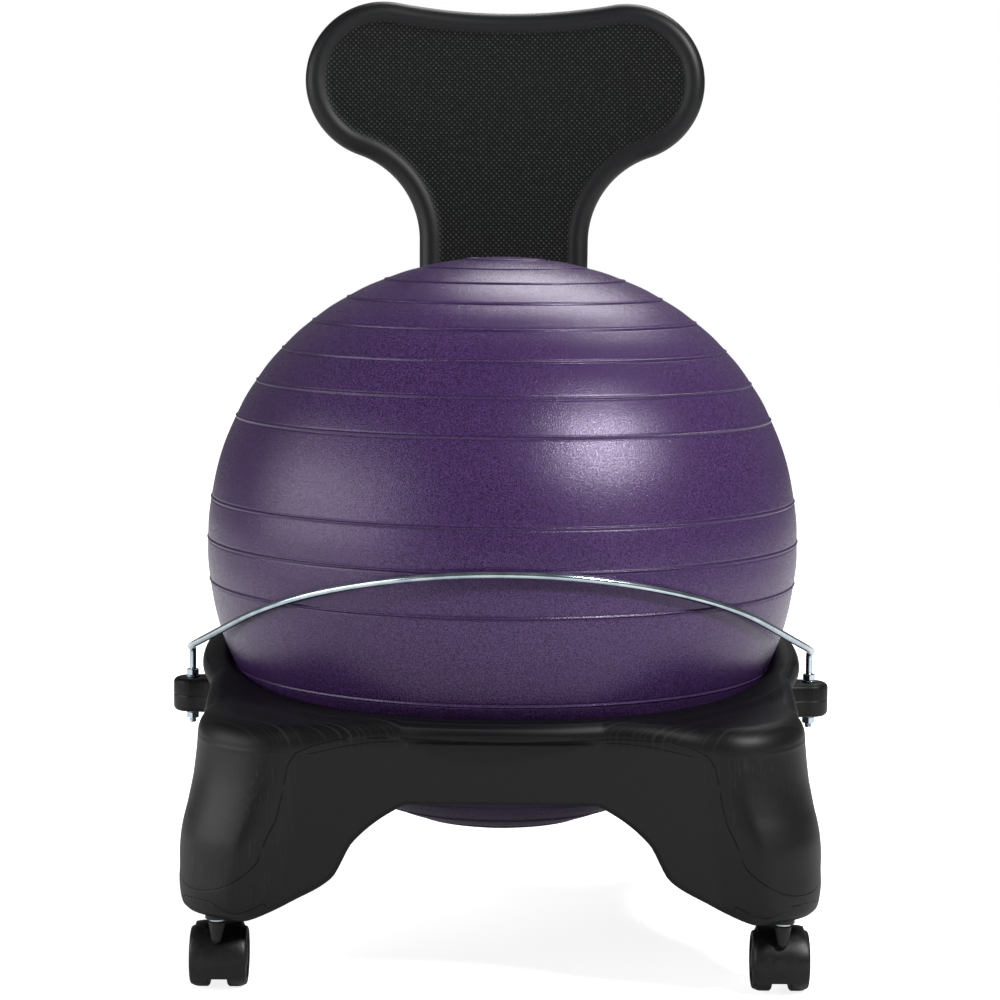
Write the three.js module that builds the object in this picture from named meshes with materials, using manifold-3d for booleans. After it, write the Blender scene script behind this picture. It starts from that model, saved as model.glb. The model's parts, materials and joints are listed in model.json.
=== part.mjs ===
// Balance ball chair: a moulded ring on four caster legs holds a ribbed exercise ball,
// a steel bar hoops round the front of the ball and a moulded backrest stands behind it.
// Millimetres, +Z up, front towards -Y, the floor at z = 0.
import * as THREE from 'three';
import { mergeVertices } from 'three/addons/utils/BufferGeometryUtils.js';
import Module from 'manifold-3d';

const wasm = await Module();
wasm.setup();

// Fits shared by all pieces
const gap = 0.3;
const overrun = 3;

// Casters
const wheelRadius = 25;
const wheelWidth = 15.8;
const wheelSideGap = 0.5;
const treadEdge = 2;
const hubRadius = 18;
const hubRecess = 1.5;
const axleRadius = 3;
const axleEndGap = 0.5;
const hubWall = 2.5;
const trail = 22;
const webWidth = 13;
const axleBossRadius = 8;
const fenderGap = 1;
const fenderWall = 2.2;
const fenderWidth = 41.5;
const neckRadius = 6.8;
const neckTaper = 1;
const neckRise = 5.5;
const stemPinRadius = 4;
const stemPinLength = 15;
const stemRadius = 5.5;
const stemLength = 34;
const stemTip = 1.5;
const gripRadius = 0.25;
const gripHeight = 4;
const stemCollarRadius = 6.5;
const stemCollarHeight = 2;
const socketWall = 3.4;
const socketTopWall = 3;
const fenderFrontAngle = THREE.MathUtils.degToRad(215);
const fenderRearAngle = THREE.MathUtils.degToRad(42);

// Brake levers on the rear casters
const leverPinRadius = 1.6;
const leverPivotOffset = 6;
const leverPivotAngle = THREE.MathUtils.degToRad(36);
const leverLugRadius = 4.5;
const leverCheek = 2.4;
const leverWidth = 26;
const leverReach = 17;
const leverRise = 4;
const leverThickness = 3;

// Ball
const ballRadius = 252;
const ballHalfHeight = 244;
const ballFullness = 0.013;
const ballWall = 2;
const ribHeight = 1.5;
const ribHalfWidth = 2.6;
const ribEquator = THREE.MathUtils.degToRad(1.5);
const ribNear = THREE.MathUtils.degToRad(7.6);
const ribFirst = THREE.MathUtils.degToRad(24);
const ribStep = THREE.MathUtils.degToRad(8.2);
const plainStep = THREE.MathUtils.degToRad(9);
const ribsEachSide = 7;
const valveRadius = 5;
const valveHeadRadius = 8;
const valveHeadHeight = 1.8;
const valvePlugLength = 12;
const valvePlugWall = 1.4;

// Base
const legHeight = 158.7;
const seatRise = 44;
const ballDrop = 118;
const ballForward = 10;
const seatGap = 0.45;
const collarWidth = 24;
const lipShare = 0.4;
const shoulderShare = 0.5;
const collarBand = 3;
const creaseStep = 4;
const panelWall = 9.5;
const legStep = 1;
const legFlare = 15.2;
const legCorner = 70;
const footCorner = 55;
const legShoulder = 20;
const shoulderDrop = 7;
const shoulderSpread = 46;
const legEdgeTop = 165;
const legEdgeFoot = 192;
const legEdgeBlend = 30;
const edgeRadius = 4;
const cornerGrowth = 3;
const archHalfSpan = 210;
const archRise = 95.4;
const casterInset = 18.8;
// across the arch from its middle, and up from the feet to its crown
const archShares = [[0, 1], [0.357, 1], [0.414, 0.945], [0.567, 0.681], [0.648, 0.374],
  [0.79, 0.187], [0.943, 0.027], [1, 0]];
// down the outside from the crease, and in under the wall, where the sections have points
const wallShares = [0, 0.2, 0.4, 0.6, 0.8, 0.92];
const underShares = [0, 0.3, 0.6, 0.82];
// up a leg from its foot, and how far its face stands out
const flareShares = [[0, 0.1], [0.025, 0.45], [0.06, 0.74], [0.12, 0.9], [0.2, 0.98], [0.3, 1],
  [0.39, 0.95], [0.48, 0.78], [0.58, 0.52], [0.72, 0.24], [0.87, 0.08], [1, 0]];

// Ears and the bar round the ball
const earThickness = 29;
const earDrop = 25;
const earRadius = 16.5;
const barRadius = 3;
const barCollarGap = 6.5;
const barStandoff = 1.5;
const barCornerRise = 28;
const barFrontRise = 98.8;
const barBow = 1.3;
const barTail = 8;
const barBend = 8;
const barLeaveAngle = THREE.MathUtils.degToRad(54);
const barLeaveSpan = THREE.MathUtils.degToRad(36);
const nutFlats = 10;
const nutHeight = 5;
const washerRadius = 6;
const washerThickness = 1.2;

// Backrest
const backGap = 3;
const backThickness = 22;
const backBottom = 167;
const backRise = 231.2;
const lobeRadius = 73.5;
const lobeSpread = 113.5;
const neckHalfWidth = 79.5;
const neckArc = 84;
const topDip = 10;
const stemHalfWidth = 64;
const stemCornerRadius = 18;
const rimWidth = 20;
const rimRecess = 3;
// over the rim from the front face: how far in from the outline, and how deep
const rimProfile = [[20, 3], [15, 0.9], [8, 0], [2, 5.5], [0, 11], [2, 17.6], [10, 22]];
// up the stem from its bottom corner to the neck
const stemShares = [0.3, 0.6, 0.85];
// how far in from the outline the face's inner rings lie, in stem half widths
const backInsetShares = [0.84, 0.58];
const lobeWrap = 14;
const backLean = 8;
// share of the back's height at which it starts to lean
const leanStart = 0.5;

// Backrest fixing
const padHalfWidth = 58;
const padHeight = 68;
const padSink = 5;
const padCorner = 8;
const boltSpacingX = 76;
const boltSpacingZ = 42;
const boltLift = 3.5;
const boltRadius = 4;
const boltFlats = 13;
const boltHeadHeight = 5.3;
const boltGrip = 20;
const boltWasherRadius = 8;
const boltWasherThickness = 1.6;
const plateThickness = 4;
const plateEdge = 14;
const plateCorner = 8;

// Facet counts
const ringSteps = 72;
const seatEdgeRounds = 5;
const cornerSteps = 3;
const earSteps = 8;
const ballSides = 36;
const wheelSides = 20;
const roundSides = 14;
const smallSides = 10;
const clearanceSides = 20;
const fenderSteps = 7;
const barSteps = 60;
const barSides = 8;
const hoopSteps = 16;
const stemCornerSteps = 2;
const neckSteps = 5;
const lobeSteps = 10;
const topSteps = 4;

// Places that follow from the sizes above
const wheelSpan = webWidth / 2 + wheelSideGap + wheelWidth;
const fenderRadius = wheelRadius + fenderGap + fenderWall;
const neckTop = wheelRadius + fenderRadius + neckRise;
const stemCollarBottom = neckTop + gap;
const footBottom = stemCollarBottom + stemCollarHeight + gap;
const seatFront = footBottom + legHeight;
const seatMiddle = seatFront + seatRise / 2;
const ballCentreZ = seatFront + ballDrop;
const ballCentreY = -ballForward;

const black = { color: 0x1b1b1d, roughness: 0.55, metalness: 0 };
const materials = {
  frame: new THREE.MeshStandardMaterial(black),
  back: new THREE.MeshStandardMaterial({ color: 0x17181a, roughness: 0.6, metalness: 0 }),
  ball: new THREE.MeshStandardMaterial({ color: 0x4d3768, roughness: 0.4, metalness: 0 }),
  zinc: new THREE.MeshStandardMaterial({ color: 0xc3ccd2, roughness: 0.25, metalness: 1 }),
  caster: new THREE.MeshStandardMaterial({ color: 0x141416, roughness: 0.5, metalness: 0 }),
  valve: new THREE.MeshStandardMaterial({ color: 0xe8e6e2, roughness: 0.5, metalness: 0 }),
};

const chair = new THREE.Group();

// Shape helpers

function smoothstep(value) {
  const t = THREE.MathUtils.clamp(value, 0, 1);
  return t * t * (3 - 2 * t);
}

// A smooth curve through points that never overshoots between them
function curveThrough(points) {
  const slope = (i) => (points[i + 1][1] - points[i][1]) / (points[i + 1][0] - points[i][0]);
  const tangent = (i) => {
    if (i === 0 || i === points.length - 1) return 0;
    const before = slope(i - 1);
    const after = slope(i);
    return before * after <= 0 ? 0 : 2 * before * after / (before + after);
  };
  return (value) => {
    const x = THREE.MathUtils.clamp(value, points[0][0], points.at(-1)[0]);
    const i = Math.min(points.findLastIndex((point) => point[0] <= x), points.length - 2);
    const width = points[i + 1][0] - points[i][0];
    const t = (x - points[i][0]) / width;
    const bend = t * t * (3 - 2 * t);
    return points[i][1] * (1 - bend) + points[i + 1][1] * bend
      + width * t * (1 - t) * (tangent(i) * (1 - t) - tangent(i + 1) * t);
  };
}

// Merges shared vertices, drops triangles that a pole has closed up, and faces the mesh outwards
function weld(geometry) {
  const bare = new THREE.BufferGeometry();
  bare.setAttribute('position', geometry.getAttribute('position').clone());
  if (geometry.index) bare.setIndex(geometry.index.clone());
  const merged = mergeVertices(bare);
  const place = merged.getAttribute('position');
  const corner = (index) => new THREE.Vector3().fromBufferAttribute(place, index);
  const kept = [];
  let volume = 0;
  for (let i = 0; i < merged.index.count; i += 3) {
    const [a, b, c] = [0, 1, 2].map((k) => merged.index.getX(i + k));
    if (a === b || b === c || c === a) continue;
    kept.push([a, b, c]);
    volume += corner(a).dot(corner(b).cross(corner(c)));
  }
  const outward = volume > 0 ? kept : kept.map(([a, b, c]) => [a, c, b]);
  merged.setIndex(outward.flat());
  return merged;
}

function toSolid(geometry) {
  const welded = weld(geometry);
  return new wasm.Manifold(new wasm.Mesh({
    numProp: 3,
    vertProperties: new Float32Array(welded.getAttribute('position').array),
    triVerts: new Uint32Array(welded.index.array),
  }));
}

function toGeometry(solid) {
  const mesh = solid.getMesh();
  const geometry = new THREE.BufferGeometry();
  geometry.setAttribute('position', new THREE.BufferAttribute(mesh.vertProperties, mesh.numProp));
  geometry.setIndex(new THREE.BufferAttribute(mesh.triVerts, 1));
  return geometry;
}

function build(first, added, removed) {
  let solid = toSolid(first);
  for (const geometry of added) solid = solid.add(toSolid(geometry));
  for (const geometry of removed) solid = solid.subtract(toSolid(geometry));
  return toGeometry(solid);
}

function place(name, geometry, material, parent = chair) {
  const mesh = new THREE.Mesh(weld(geometry), materials[material]);
  mesh.name = name;
  parent.add(mesh);
  return mesh;
}

// A profile of [radius, height] points turned about the vertical
function turned(profile, sides) {
  const points = profile.map(([radius, height]) => new THREE.Vector2(radius, height));
  return new THREE.LatheGeometry(points, sides).rotateX(Math.PI / 2);
}

// A profile of [radius, distance along X] points turned about the X axis, a flat facet down
function turnedAboutX(profile, sides) {
  return turned(profile, sides).rotateZ(Math.PI / sides).rotateY(Math.PI / 2);
}

function cylinder(radius, bottom, top, sides) {
  return turned([[0, bottom], [radius, bottom], [radius, top], [0, top]], sides);
}

function cylinderAlongY(radius, start, end, sides) {
  return cylinder(radius, start, end, sides).rotateX(-Math.PI / 2);
}

function cylinderAlongX(radius, half, sides) {
  return turnedAboutX([[0, -half], [radius, -half], [radius, half], [0, half]], sides);
}

function ring(inner, outer, bottom, top, sides) {
  return turned([[inner, bottom], [outer, bottom], [outer, top], [inner, top], [inner, bottom]], sides);
}

function extruded(points, depth) {
  const shape = new THREE.Shape(points.map(([x, y]) => new THREE.Vector2(x, y)));
  return new THREE.ExtrudeGeometry(shape, { depth, bevelEnabled: false });
}

// An outline of [Y, Z] points, as wide along X as given, centred on X = 0
function acrossX(points, width) {
  const turn = new THREE.Matrix4().makeBasis(
    new THREE.Vector3(0, 1, 0), new THREE.Vector3(0, 0, 1), new THREE.Vector3(1, 0, 0));
  return extruded(points, width).translate(0, 0, -width / 2).applyMatrix4(turn);
}

// An outline of [X, Z] points from one Y to another
function acrossY(points, start, end) {
  return extruded(points.map(([x, z]) => [x, -z]), end - start).rotateX(-Math.PI / 2)
    .translate(0, start, 0);
}

function arcPoints(centreX, centreY, radius, start, end, steps) {
  return Array.from({ length: steps + 1 }, (_, i) => {
    const angle = start + (end - start) * i / steps;
    return [centreX + radius * Math.cos(angle), centreY + radius * Math.sin(angle)];
  });
}

function roundedRectangle(halfWidth, bottom, top, radius) {
  const corners = [[halfWidth - radius, bottom + radius, -0.5], [halfWidth - radius, top - radius, 0],
    [radius - halfWidth, top - radius, 0.5], [radius - halfWidth, bottom + radius, 1]];
  return corners.flatMap(([x, y, turns]) =>
    arcPoints(x, y, radius, turns * Math.PI, (turns + 0.5) * Math.PI, cornerSteps));
}

function hexagon(flats) {
  const corner = flats / Math.sqrt(3);
  return Array.from({ length: 6 }, (_, i) =>
    [corner * Math.cos(i * Math.PI / 3), corner * Math.sin(i * Math.PI / 3)]);
}

// Rings of points, one after the other, with quads between neighbours
function skin(rings, closed) {
  const count = rings[0].length;
  const positions = rings.flat(2);
  const triangles = [];
  const last = closed ? rings.length : rings.length - 1;
  for (let i = 0; i < last; i += 1) {
    const next = (i + 1) % rings.length;
    for (let k = 0; k < count; k += 1) {
      const [a, b] = [i * count + k, i * count + (k + 1) % count];
      const [c, d] = [next * count + (k + 1) % count, next * count + k];
      triangles.push(a, b, c, a, c, d);
    }
  }
  return { positions, triangles };
}

function meshFrom({ positions, triangles }) {
  const geometry = new THREE.BufferGeometry();
  geometry.setAttribute('position', new THREE.Float32BufferAttribute(positions, 3));
  geometry.setIndex(triangles);
  return geometry;
}

// Ball

function ballRadiusAt(z) {
  return ballRadius * Math.sqrt(1 - ((z - ballCentreZ) / ballHalfHeight) ** 2);
}

// How much fuller than an ellipse the blown ball is, at an angle up from its widest place
function swell(angle) {
  return 1 + ballFullness * Math.sin(2 * Math.max(angle, 0)) ** 2;
}

function ribAngles() {
  const outer = Array.from({ length: ribsEachSide }, (_, i) => ribFirst + i * ribStep);
  const offsets = [...outer.map((angle) => -angle), -ribNear, 0, ribNear, ...outer];
  return offsets.sort((a, b) => a - b).map((angle) => ribEquator + angle);
}

// Points up the outside from the valve to the top: each rib is a low ridge, plain steps between
function ballOutside() {
  const ribAngle = ribHalfWidth / ballRadius;
  const point = (angle, lift) => [(ballRadius + lift) * swell(angle) * Math.cos(angle),
    (ballHalfHeight + lift) * swell(angle) * Math.sin(angle)];
  const valveAngle = -Math.acos(valveRadius / ballRadius);
  const points = [point(valveAngle, 0)];
  let reached = valveAngle;
  for (const rib of [...ribAngles(), Math.PI / 2]) {
    const start = rib === Math.PI / 2 ? rib : rib - ribAngle;
    const steps = Math.ceil((start - reached) / plainStep);
    for (let i = 1; i < steps; i += 1) points.push(point(reached + (start - reached) * i / steps, 0));
    if (rib === Math.PI / 2) break;
    points.push(point(rib - ribAngle, 0), point(rib, ribHeight), point(rib + ribAngle, 0));
    reached = rib + ribAngle;
  }
  points.push([0, ballHalfHeight]);
  return points;
}

function ballInside() {
  const radius = ballRadius - ballWall;
  const halfHeight = ballHalfHeight - ballWall;
  const steps = ballSides / 2;
  const end = -Math.acos(valveRadius / radius);
  return Array.from({ length: steps + 1 }, (_, i) => {
    const angle = Math.PI / 2 + (end - Math.PI / 2) * i / steps;
    return [i ? radius * swell(angle) * Math.cos(angle) : 0, halfHeight * swell(angle) * Math.sin(angle)];
  });
}

function makeBall() {
  const outside = ballOutside();
  const profile = [...outside, ...ballInside(), outside[0]];
  const ball = turned(profile, ballSides).translate(0, ballCentreY, ballCentreZ);
  place('ball', ball, 'ball');
}

// The plug has a flat head outside the ball and a hollow stub that fills the valve hole
function makeValvePlug() {
  const bottom = -ballHalfHeight - gap;
  const stub = valveRadius - gap;
  const bore = stub - valvePlugWall;
  const top = bottom + valvePlugLength;
  const plug = turned([[0, bottom - valveHeadHeight], [valveHeadRadius, bottom - valveHeadHeight],
    [valveHeadRadius, bottom], [stub, bottom], [stub, top], [bore, top], [bore, bottom + valvePlugWall],
    [0, bottom + valvePlugWall]], roundSides);
  place('valve_plug', plug.translate(0, ballCentreY, ballCentreZ), 'valve');
}

// Base ring and legs

const seatRadius = ballRadiusAt(seatMiddle) + ribHeight + seatGap;
const panelFace = seatRadius + panelWall;
const legFace = panelFace + legStep;
const casterPlace = legFace - casterInset;
const archCurve = curveThrough(archShares);
const flareCurve = curveThrough(flareShares);

function seatHeight(y) {
  return seatFront + seatRise * smoothstep((y + seatRadius) / (2 * seatRadius));
}

// Distance from the ring's centre to the seat's edge, which follows the ball at every angle
function seatEdge(cos, sin) {
  let radius = seatRadius;
  for (let i = 0; i < seatEdgeRounds; i += 1) {
    const level = ballRadiusAt(seatHeight(radius * sin)) + ribHeight + seatGap;
    radius = ballCentreY * sin + Math.sqrt(level ** 2 - (ballCentreY * cos) ** 2);
  }
  return radius;
}

function archHeight(x, y) {
  const across = Math.min(Math.abs(x), Math.abs(y));
  return footBottom + archRise * archCurve(across / archHalfSpan);
}

// A rounded square's distance from its centre along one direction
function squareReach(cos, sin, half, corner) {
  const [far, near] = [Math.max(cos, sin), Math.min(cos, sin)];
  if (half * near / far <= half - corner) return half / far;
  const centre = half - corner;
  const along = centre * (cos + sin);
  return along + Math.sqrt(along ** 2 - 2 * centre ** 2 + corner ** 2);
}

// The outside of the legs and of the flat panels between them, at one height
function wallReach(cos, sin, z) {
  const [c, s] = [Math.abs(cos), Math.abs(sin)];
  const up = THREE.MathUtils.clamp((z - footBottom) / legHeight, 0, 1);
  const face = legFace + legFlare * flareCurve(up);
  const across = panelFace * Math.min(c, s) / Math.max(c, s);
  const edge = legEdgeFoot + (legEdgeTop - legEdgeFoot) * up;
  const onLeg = smoothstep((across - edge) / legEdgeBlend + 0.5);
  const half = panelFace + (face - panelFace) * onLeg;
  const corner = footCorner + (legCorner - footCorner) * smoothstep(up * cornerGrowth);
  return squareReach(c, s, half, corner);
}

// One upright cut through the ring at an angle, as [radius, z] points from the inside bottom
function baseSection(cos, sin) {
  const edge = seatEdge(cos, sin);
  const seat = seatHeight(edge * sin);
  const lean = Math.atan((ballRadius / ballHalfHeight) ** 2 * (ballCentreZ - seat) / ballRadiusAt(seat));
  const lip = lipShare * collarWidth;
  const lipCentre = [edge + lip * Math.cos(lean), seat - lip * Math.sin(lean)];
  const wall = lipCentre[0] - lip;
  const collar = edge + collarWidth;
  const top = lipCentre[1] + lip;
  const reach = Math.max(collar, wallReach(cos, sin, seat));
  const onLeg = smoothstep((reach - collar) / shoulderSpread);
  const shoulder = shoulderShare * collarWidth * (1 - onLeg) + legShoulder * onLeg;
  const shoulderTop = top - shoulderDrop * onLeg;
  const shoulderEnd = shoulderTop - shoulder;
  const inside = [[wall, archHeight(wall * cos, wall * sin)], [wall, lipCentre[1]]];
  const lipArc = arcPoints(...lipCentre, lip, Math.PI, Math.PI / 2, cornerSteps).slice(1);
  const shoulderArc = arcPoints(reach - shoulder, shoulderEnd, shoulder, Math.PI / 2, 0, cornerSteps);
  const bandEnd = shoulderEnd - collarBand;
  const outside = [[Math.max(collar, wallReach(cos, sin, bandEnd)), bandEnd]];
  const foot = wallReach(cos, sin, footBottom);
  const bottom = archHeight(foot * cos, foot * sin);
  const wallTop = bandEnd - creaseStep;
  for (const share of wallShares) {
    const z = wallTop + (bottom + edgeRadius - wallTop) * share;
    outside.push([wallReach(cos, sin, z), z]);
  }
  outside.push([wallReach(cos, sin, bottom + edgeRadius), bottom + edgeRadius]);
  const under = underShares.map((share) => {
    const radius = THREE.MathUtils.lerp(wallReach(cos, sin, bottom) - edgeRadius, wall, share);
    return [radius, archHeight(radius * cos, radius * sin)];
  });
  return [...inside, ...lipArc, ...shoulderArc, ...outside, ...under];
}

function baseRing() {
  const sections = Array.from({ length: ringSteps }, (_, i) => {
    const angle = 2 * Math.PI * i / ringSteps;
    const [cos, sin] = [Math.cos(angle), Math.sin(angle)];
    return baseSection(cos, sin).map(([radius, z]) => [radius * cos, radius * sin, z]);
  });
  return meshFrom(skin(sections, true));
}

const earTop = seatMiddle - earDrop;
const earBottom = earTop - earThickness;
const barSide = seatEdge(1, 0) + collarWidth + barCollarGap + barRadius;

// A lug with a round end, whose root is sunk in the base's side
function earBlock(side) {
  const root = panelFace - panelWall / 2;
  const outline = [[root, -earRadius], ...arcPoints(barSide, 0, earRadius, -Math.PI / 2, Math.PI / 2,
    earSteps), [root, earRadius]];
  const points = side > 0 ? outline : outline.map(([x, y]) => [-x, y]).reverse();
  return extruded(points, earThickness).translate(0, 0, earBottom);
}

const backFront = seatEdge(0, 1) + collarWidth + backGap;
const boltMiddle = backBottom + stemCornerRadius + boltSpacingZ / 2 + boltLift;

function padBlock() {
  const outline = roundedRectangle(padHalfWidth, boltMiddle - padHeight / 2, boltMiddle + padHeight / 2,
    padCorner);
  return acrossY(outline, panelFace - padSink, backFront - gap);
}

function eachCorner(action) {
  for (const [front, y] of [['front', -1], ['rear', 1]]) {
    for (const [side, x] of [['left', -1], ['right', 1]]) action(`${front}_${side}`, x, y);
  }
}

function boltPlaces() {
  return [-1, 1].flatMap((up) => [-1, 1].map((side) =>
    [side * boltSpacingX / 2, boltMiddle + up * boltSpacingZ / 2]));
}

function boltBores(start, end) {
  return boltPlaces().map(([x, z]) =>
    cylinderAlongY(boltRadius + gap, start, end, smallSides).translate(x, 0, z));
}

const socketRadius = stemRadius + gripRadius + gap + socketWall;
const socketHeight = stemLength + gap + socketTopWall;

function makeBase() {
  const bores = [];
  eachCorner((_, x, y) => bores.push(cylinder(socketRadius + gap, footBottom - overrun,
    footBottom + socketHeight + gap, roundSides).translate(x * casterPlace, y * casterPlace, 0)));
  for (const side of [-1, 1]) {
    bores.push(cylinder(barRadius + gap, earBottom - overrun, earTop + overrun, smallSides)
      .translate(side * barSide, 0, 0));
  }
  bores.push(...boltBores(backFront - boltGrip - gap, backFront + overrun));
  place('base_frame', build(baseRing(), [earBlock(-1), earBlock(1), padBlock()], bores), 'frame');
}

// Casters

function socket() {
  const bore = stemRadius + gripRadius + gap;
  const top = footBottom + socketHeight;
  return turned([[bore, footBottom], [socketRadius, footBottom], [socketRadius, top], [0, top],
    [0, top - socketTopWall], [bore, top - socketTopWall], [bore, footBottom]], roundSides);
}

// Pin for the hood, a bright collar under the foot, and the shank with its grip ring
function casterStem() {
  const collarTop = stemCollarBottom + stemCollarHeight;
  const top = footBottom + stemLength;
  const grip = stemRadius + gripRadius;
  return turned([[0, neckTop - stemPinLength], [stemPinRadius, neckTop - stemPinLength],
    [stemPinRadius, stemCollarBottom], [stemCollarRadius, stemCollarBottom],
    [stemCollarRadius, collarTop], [stemRadius, collarTop], [stemRadius, top - 2 * gripHeight],
    [grip, top - 2 * gripHeight], [grip, top - gripHeight], [stemRadius, top - gripHeight],
    [stemRadius, top - stemTip], [stemRadius - stemTip, top], [0, top]], smallSides);
}

function fenderSector(inner) {
  const outer = arcPoints(0, 0, fenderRadius, fenderFrontAngle, fenderRearAngle, fenderSteps);
  const inside = inner ? arcPoints(0, 0, inner, fenderRearAngle, fenderFrontAngle, fenderSteps)
    : [[0, 0]];
  return [...outer, ...inside];
}

const leverPivot = [(fenderRadius + leverPivotOffset) * Math.cos(leverPivotAngle),
  (fenderRadius + leverPivotOffset) * Math.sin(leverPivotAngle)];

function lugArm() {
  const [y, z] = leverPivot;
  const side = new THREE.Vector2(-z, y).setLength(leverLugRadius);
  return [[-side.x, -side.y], [y - side.x, z - side.y], [y + side.x, z + side.y], [side.x, side.y]];
}

// Web between the wheels, a fender over them and the neck that turns on the stem
function hood(braked) {
  const added = [
    acrossX(fenderSector(wheelRadius + fenderGap), fenderWidth),
    cylinderAlongX(axleBossRadius, webWidth / 2, roundSides),
    turned([[0, 0], [neckRadius - neckTaper, 0], [neckRadius, neckTop - wheelRadius],
      [0, neckTop - wheelRadius]], smallSides).translate(0, -trail, 0),
  ];
  const wheelClearance = [-1, 1].map((side) =>
    cylinderAlongX(wheelRadius + fenderGap, wheelSpan / 2, clearanceSides)
      .translate(side * (webWidth + wheelSpan) / 2, 0, 0));
  const stemBore = cylinder(stemPinRadius + gap, neckTop - stemPinLength - gap - wheelRadius,
    neckTop - wheelRadius + overrun, smallSides).translate(0, -trail, 0);
  const removed = [...wheelClearance, stemBore, cylinderAlongX(axleRadius + gap, webWidth, smallSides)];
  if (braked) {
    added.push(acrossX(lugArm(), webWidth),
      cylinderAlongX(leverLugRadius, webWidth / 2, roundSides).translate(0, ...leverPivot));
    removed.push(cylinderAlongX(leverPinRadius + gap, webWidth, smallSides).translate(0, ...leverPivot));
  }
  return build(acrossX(fenderSector(0), webWidth), added, removed);
}

// Tread, a dished outer face and a blind bore from the inner side
function wheel() {
  const bore = axleRadius + gap;
  const depth = wheelWidth - hubWall;
  const rim = wheelRadius / Math.cos(Math.PI / wheelSides);
  return turnedAboutX([[0, depth], [bore, depth], [bore, 0], [rim - treadEdge, 0], [rim, treadEdge],
    [rim, wheelWidth - treadEdge], [rim - treadEdge, wheelWidth], [hubRadius, wheelWidth],
    [hubRadius - hubRecess, wheelWidth - hubRecess], [0, wheelWidth - hubRecess]], wheelSides);
}

function axle() {
  return cylinderAlongX(axleRadius, wheelSpan - hubWall - axleEndGap, smallSides);
}

// A pedal on two cheeks, with a pin through the hood's lug
function brakeLever() {
  const inner = webWidth / 2 + gap;
  const [y, z] = leverPivot;
  const near = y + leverLugRadius + gap;
  const far = y + leverReach;
  const outline = [[near, z], [far, z + leverRise], [far, z + leverRise + leverThickness],
    [near, z + leverThickness]];
  const cheek = (side) => acrossX([[y, z - leverLugRadius / 2], [near + leverThickness, z],
    [near + leverThickness, z + leverThickness], [y, z + leverLugRadius / 2]], leverCheek)
    .translate(side * (inner + leverCheek / 2), 0, 0);
  const boss = (side) => cylinderAlongX(leverLugRadius - leverCheek / 2, leverCheek / 2, roundSides)
    .translate(side * (inner + leverCheek / 2), y, z);
  return build(acrossX(outline, leverWidth),
    [cheek(-1), cheek(1), boss(-1), boss(1),
      cylinderAlongX(leverPinRadius, inner + leverCheek / 2, smallSides).translate(0, y, z)], []);
}

function makeCaster(corner, x, y) {
  const stand = new THREE.Group();
  stand.position.set(x * casterPlace, y * casterPlace, 0);
  chair.add(stand);
  const carriage = new THREE.Group();
  carriage.position.set(0, trail, wheelRadius);
  stand.add(carriage);
  place(`caster_socket_${corner}`, socket(), 'caster', stand);
  place(`caster_stem_${corner}`, casterStem(), 'zinc', stand);
  place(`caster_hood_${corner}`, hood(y > 0), 'caster', carriage);
  place(`caster_axle_${corner}`, axle(), 'zinc', carriage);
  for (const [name, side] of [['outboard', x], ['inboard', -x]]) {
    const turn = side > 0 ? 0 : Math.PI;
    const mesh = place(`wheel_${corner}_${name}`, wheel().rotateZ(turn), 'caster', carriage);
    mesh.position.x = side * (webWidth / 2 + wheelSideGap);
  }
  if (y > 0) place(`brake_lever_${corner}`, brakeLever(), 'caster', carriage);
}

// Bar round the front of the ball

const barCorner = earTop + barCornerRise;

// A point of the hoop, by its angle from straight ahead: it hugs the ball and leaves it near the ears
function hoopPoint(angle) {
  const z = barCorner + barFrontRise * Math.max(Math.cos(angle), 0) ** barBow;
  const hug = ballRadiusAt(z) + ribHeight + barStandoff + barRadius;
  const leave = smoothstep((Math.abs(angle) - barLeaveAngle) / barLeaveSpan);
  const reach = hug + (Math.hypot(barSide, ballCentreY) - hug) * leave;
  return new THREE.Vector3(reach * Math.sin(angle), ballCentreY - reach * Math.cos(angle), z);
}

function barPath() {
  const endAngle = Math.PI / 2 + Math.atan(-ballCentreY / barSide);
  const bendAngle = endAngle - barBend / barSide;
  const hoop = Array.from({ length: hoopSteps + 1 }, (_, i) =>
    hoopPoint(bendAngle * (2 * i / hoopSteps - 1)));
  const tail = earBottom - gap - washerThickness - gap - nutHeight - barTail / 2;
  const straightEnd = barCorner - barBend;
  const upright = (side) => [tail, earBottom, earTop, straightEnd - barRadius, straightEnd].map((z) =>
    new THREE.Vector3(side * barSide, 0, z));
  return new THREE.CatmullRomCurve3([...upright(-1), ...hoop, ...upright(1).reverse()], false,
    'centripetal');
}

function makeBar() {
  const circle = new THREE.Shape(arcPoints(0, 0, barRadius, 0, 2 * Math.PI, barSides).slice(0, -1)
    .map(([x, y]) => new THREE.Vector2(x, y)));
  const bar = new THREE.ExtrudeGeometry(circle, { steps: barSteps, extrudePath: barPath() });
  place('retaining_bar', bar, 'zinc');
}

function nut() {
  const hole = new THREE.Path(arcPoints(0, 0, barRadius + gap, 0, -2 * Math.PI, smallSides)
    .slice(0, -1).map(([x, y]) => new THREE.Vector2(x, y)));
  const shape = new THREE.Shape(hexagon(nutFlats).map(([x, y]) => new THREE.Vector2(x, y)));
  shape.holes.push(hole);
  return new THREE.ExtrudeGeometry(shape, { depth: nutHeight, bevelEnabled: false });
}

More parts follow.
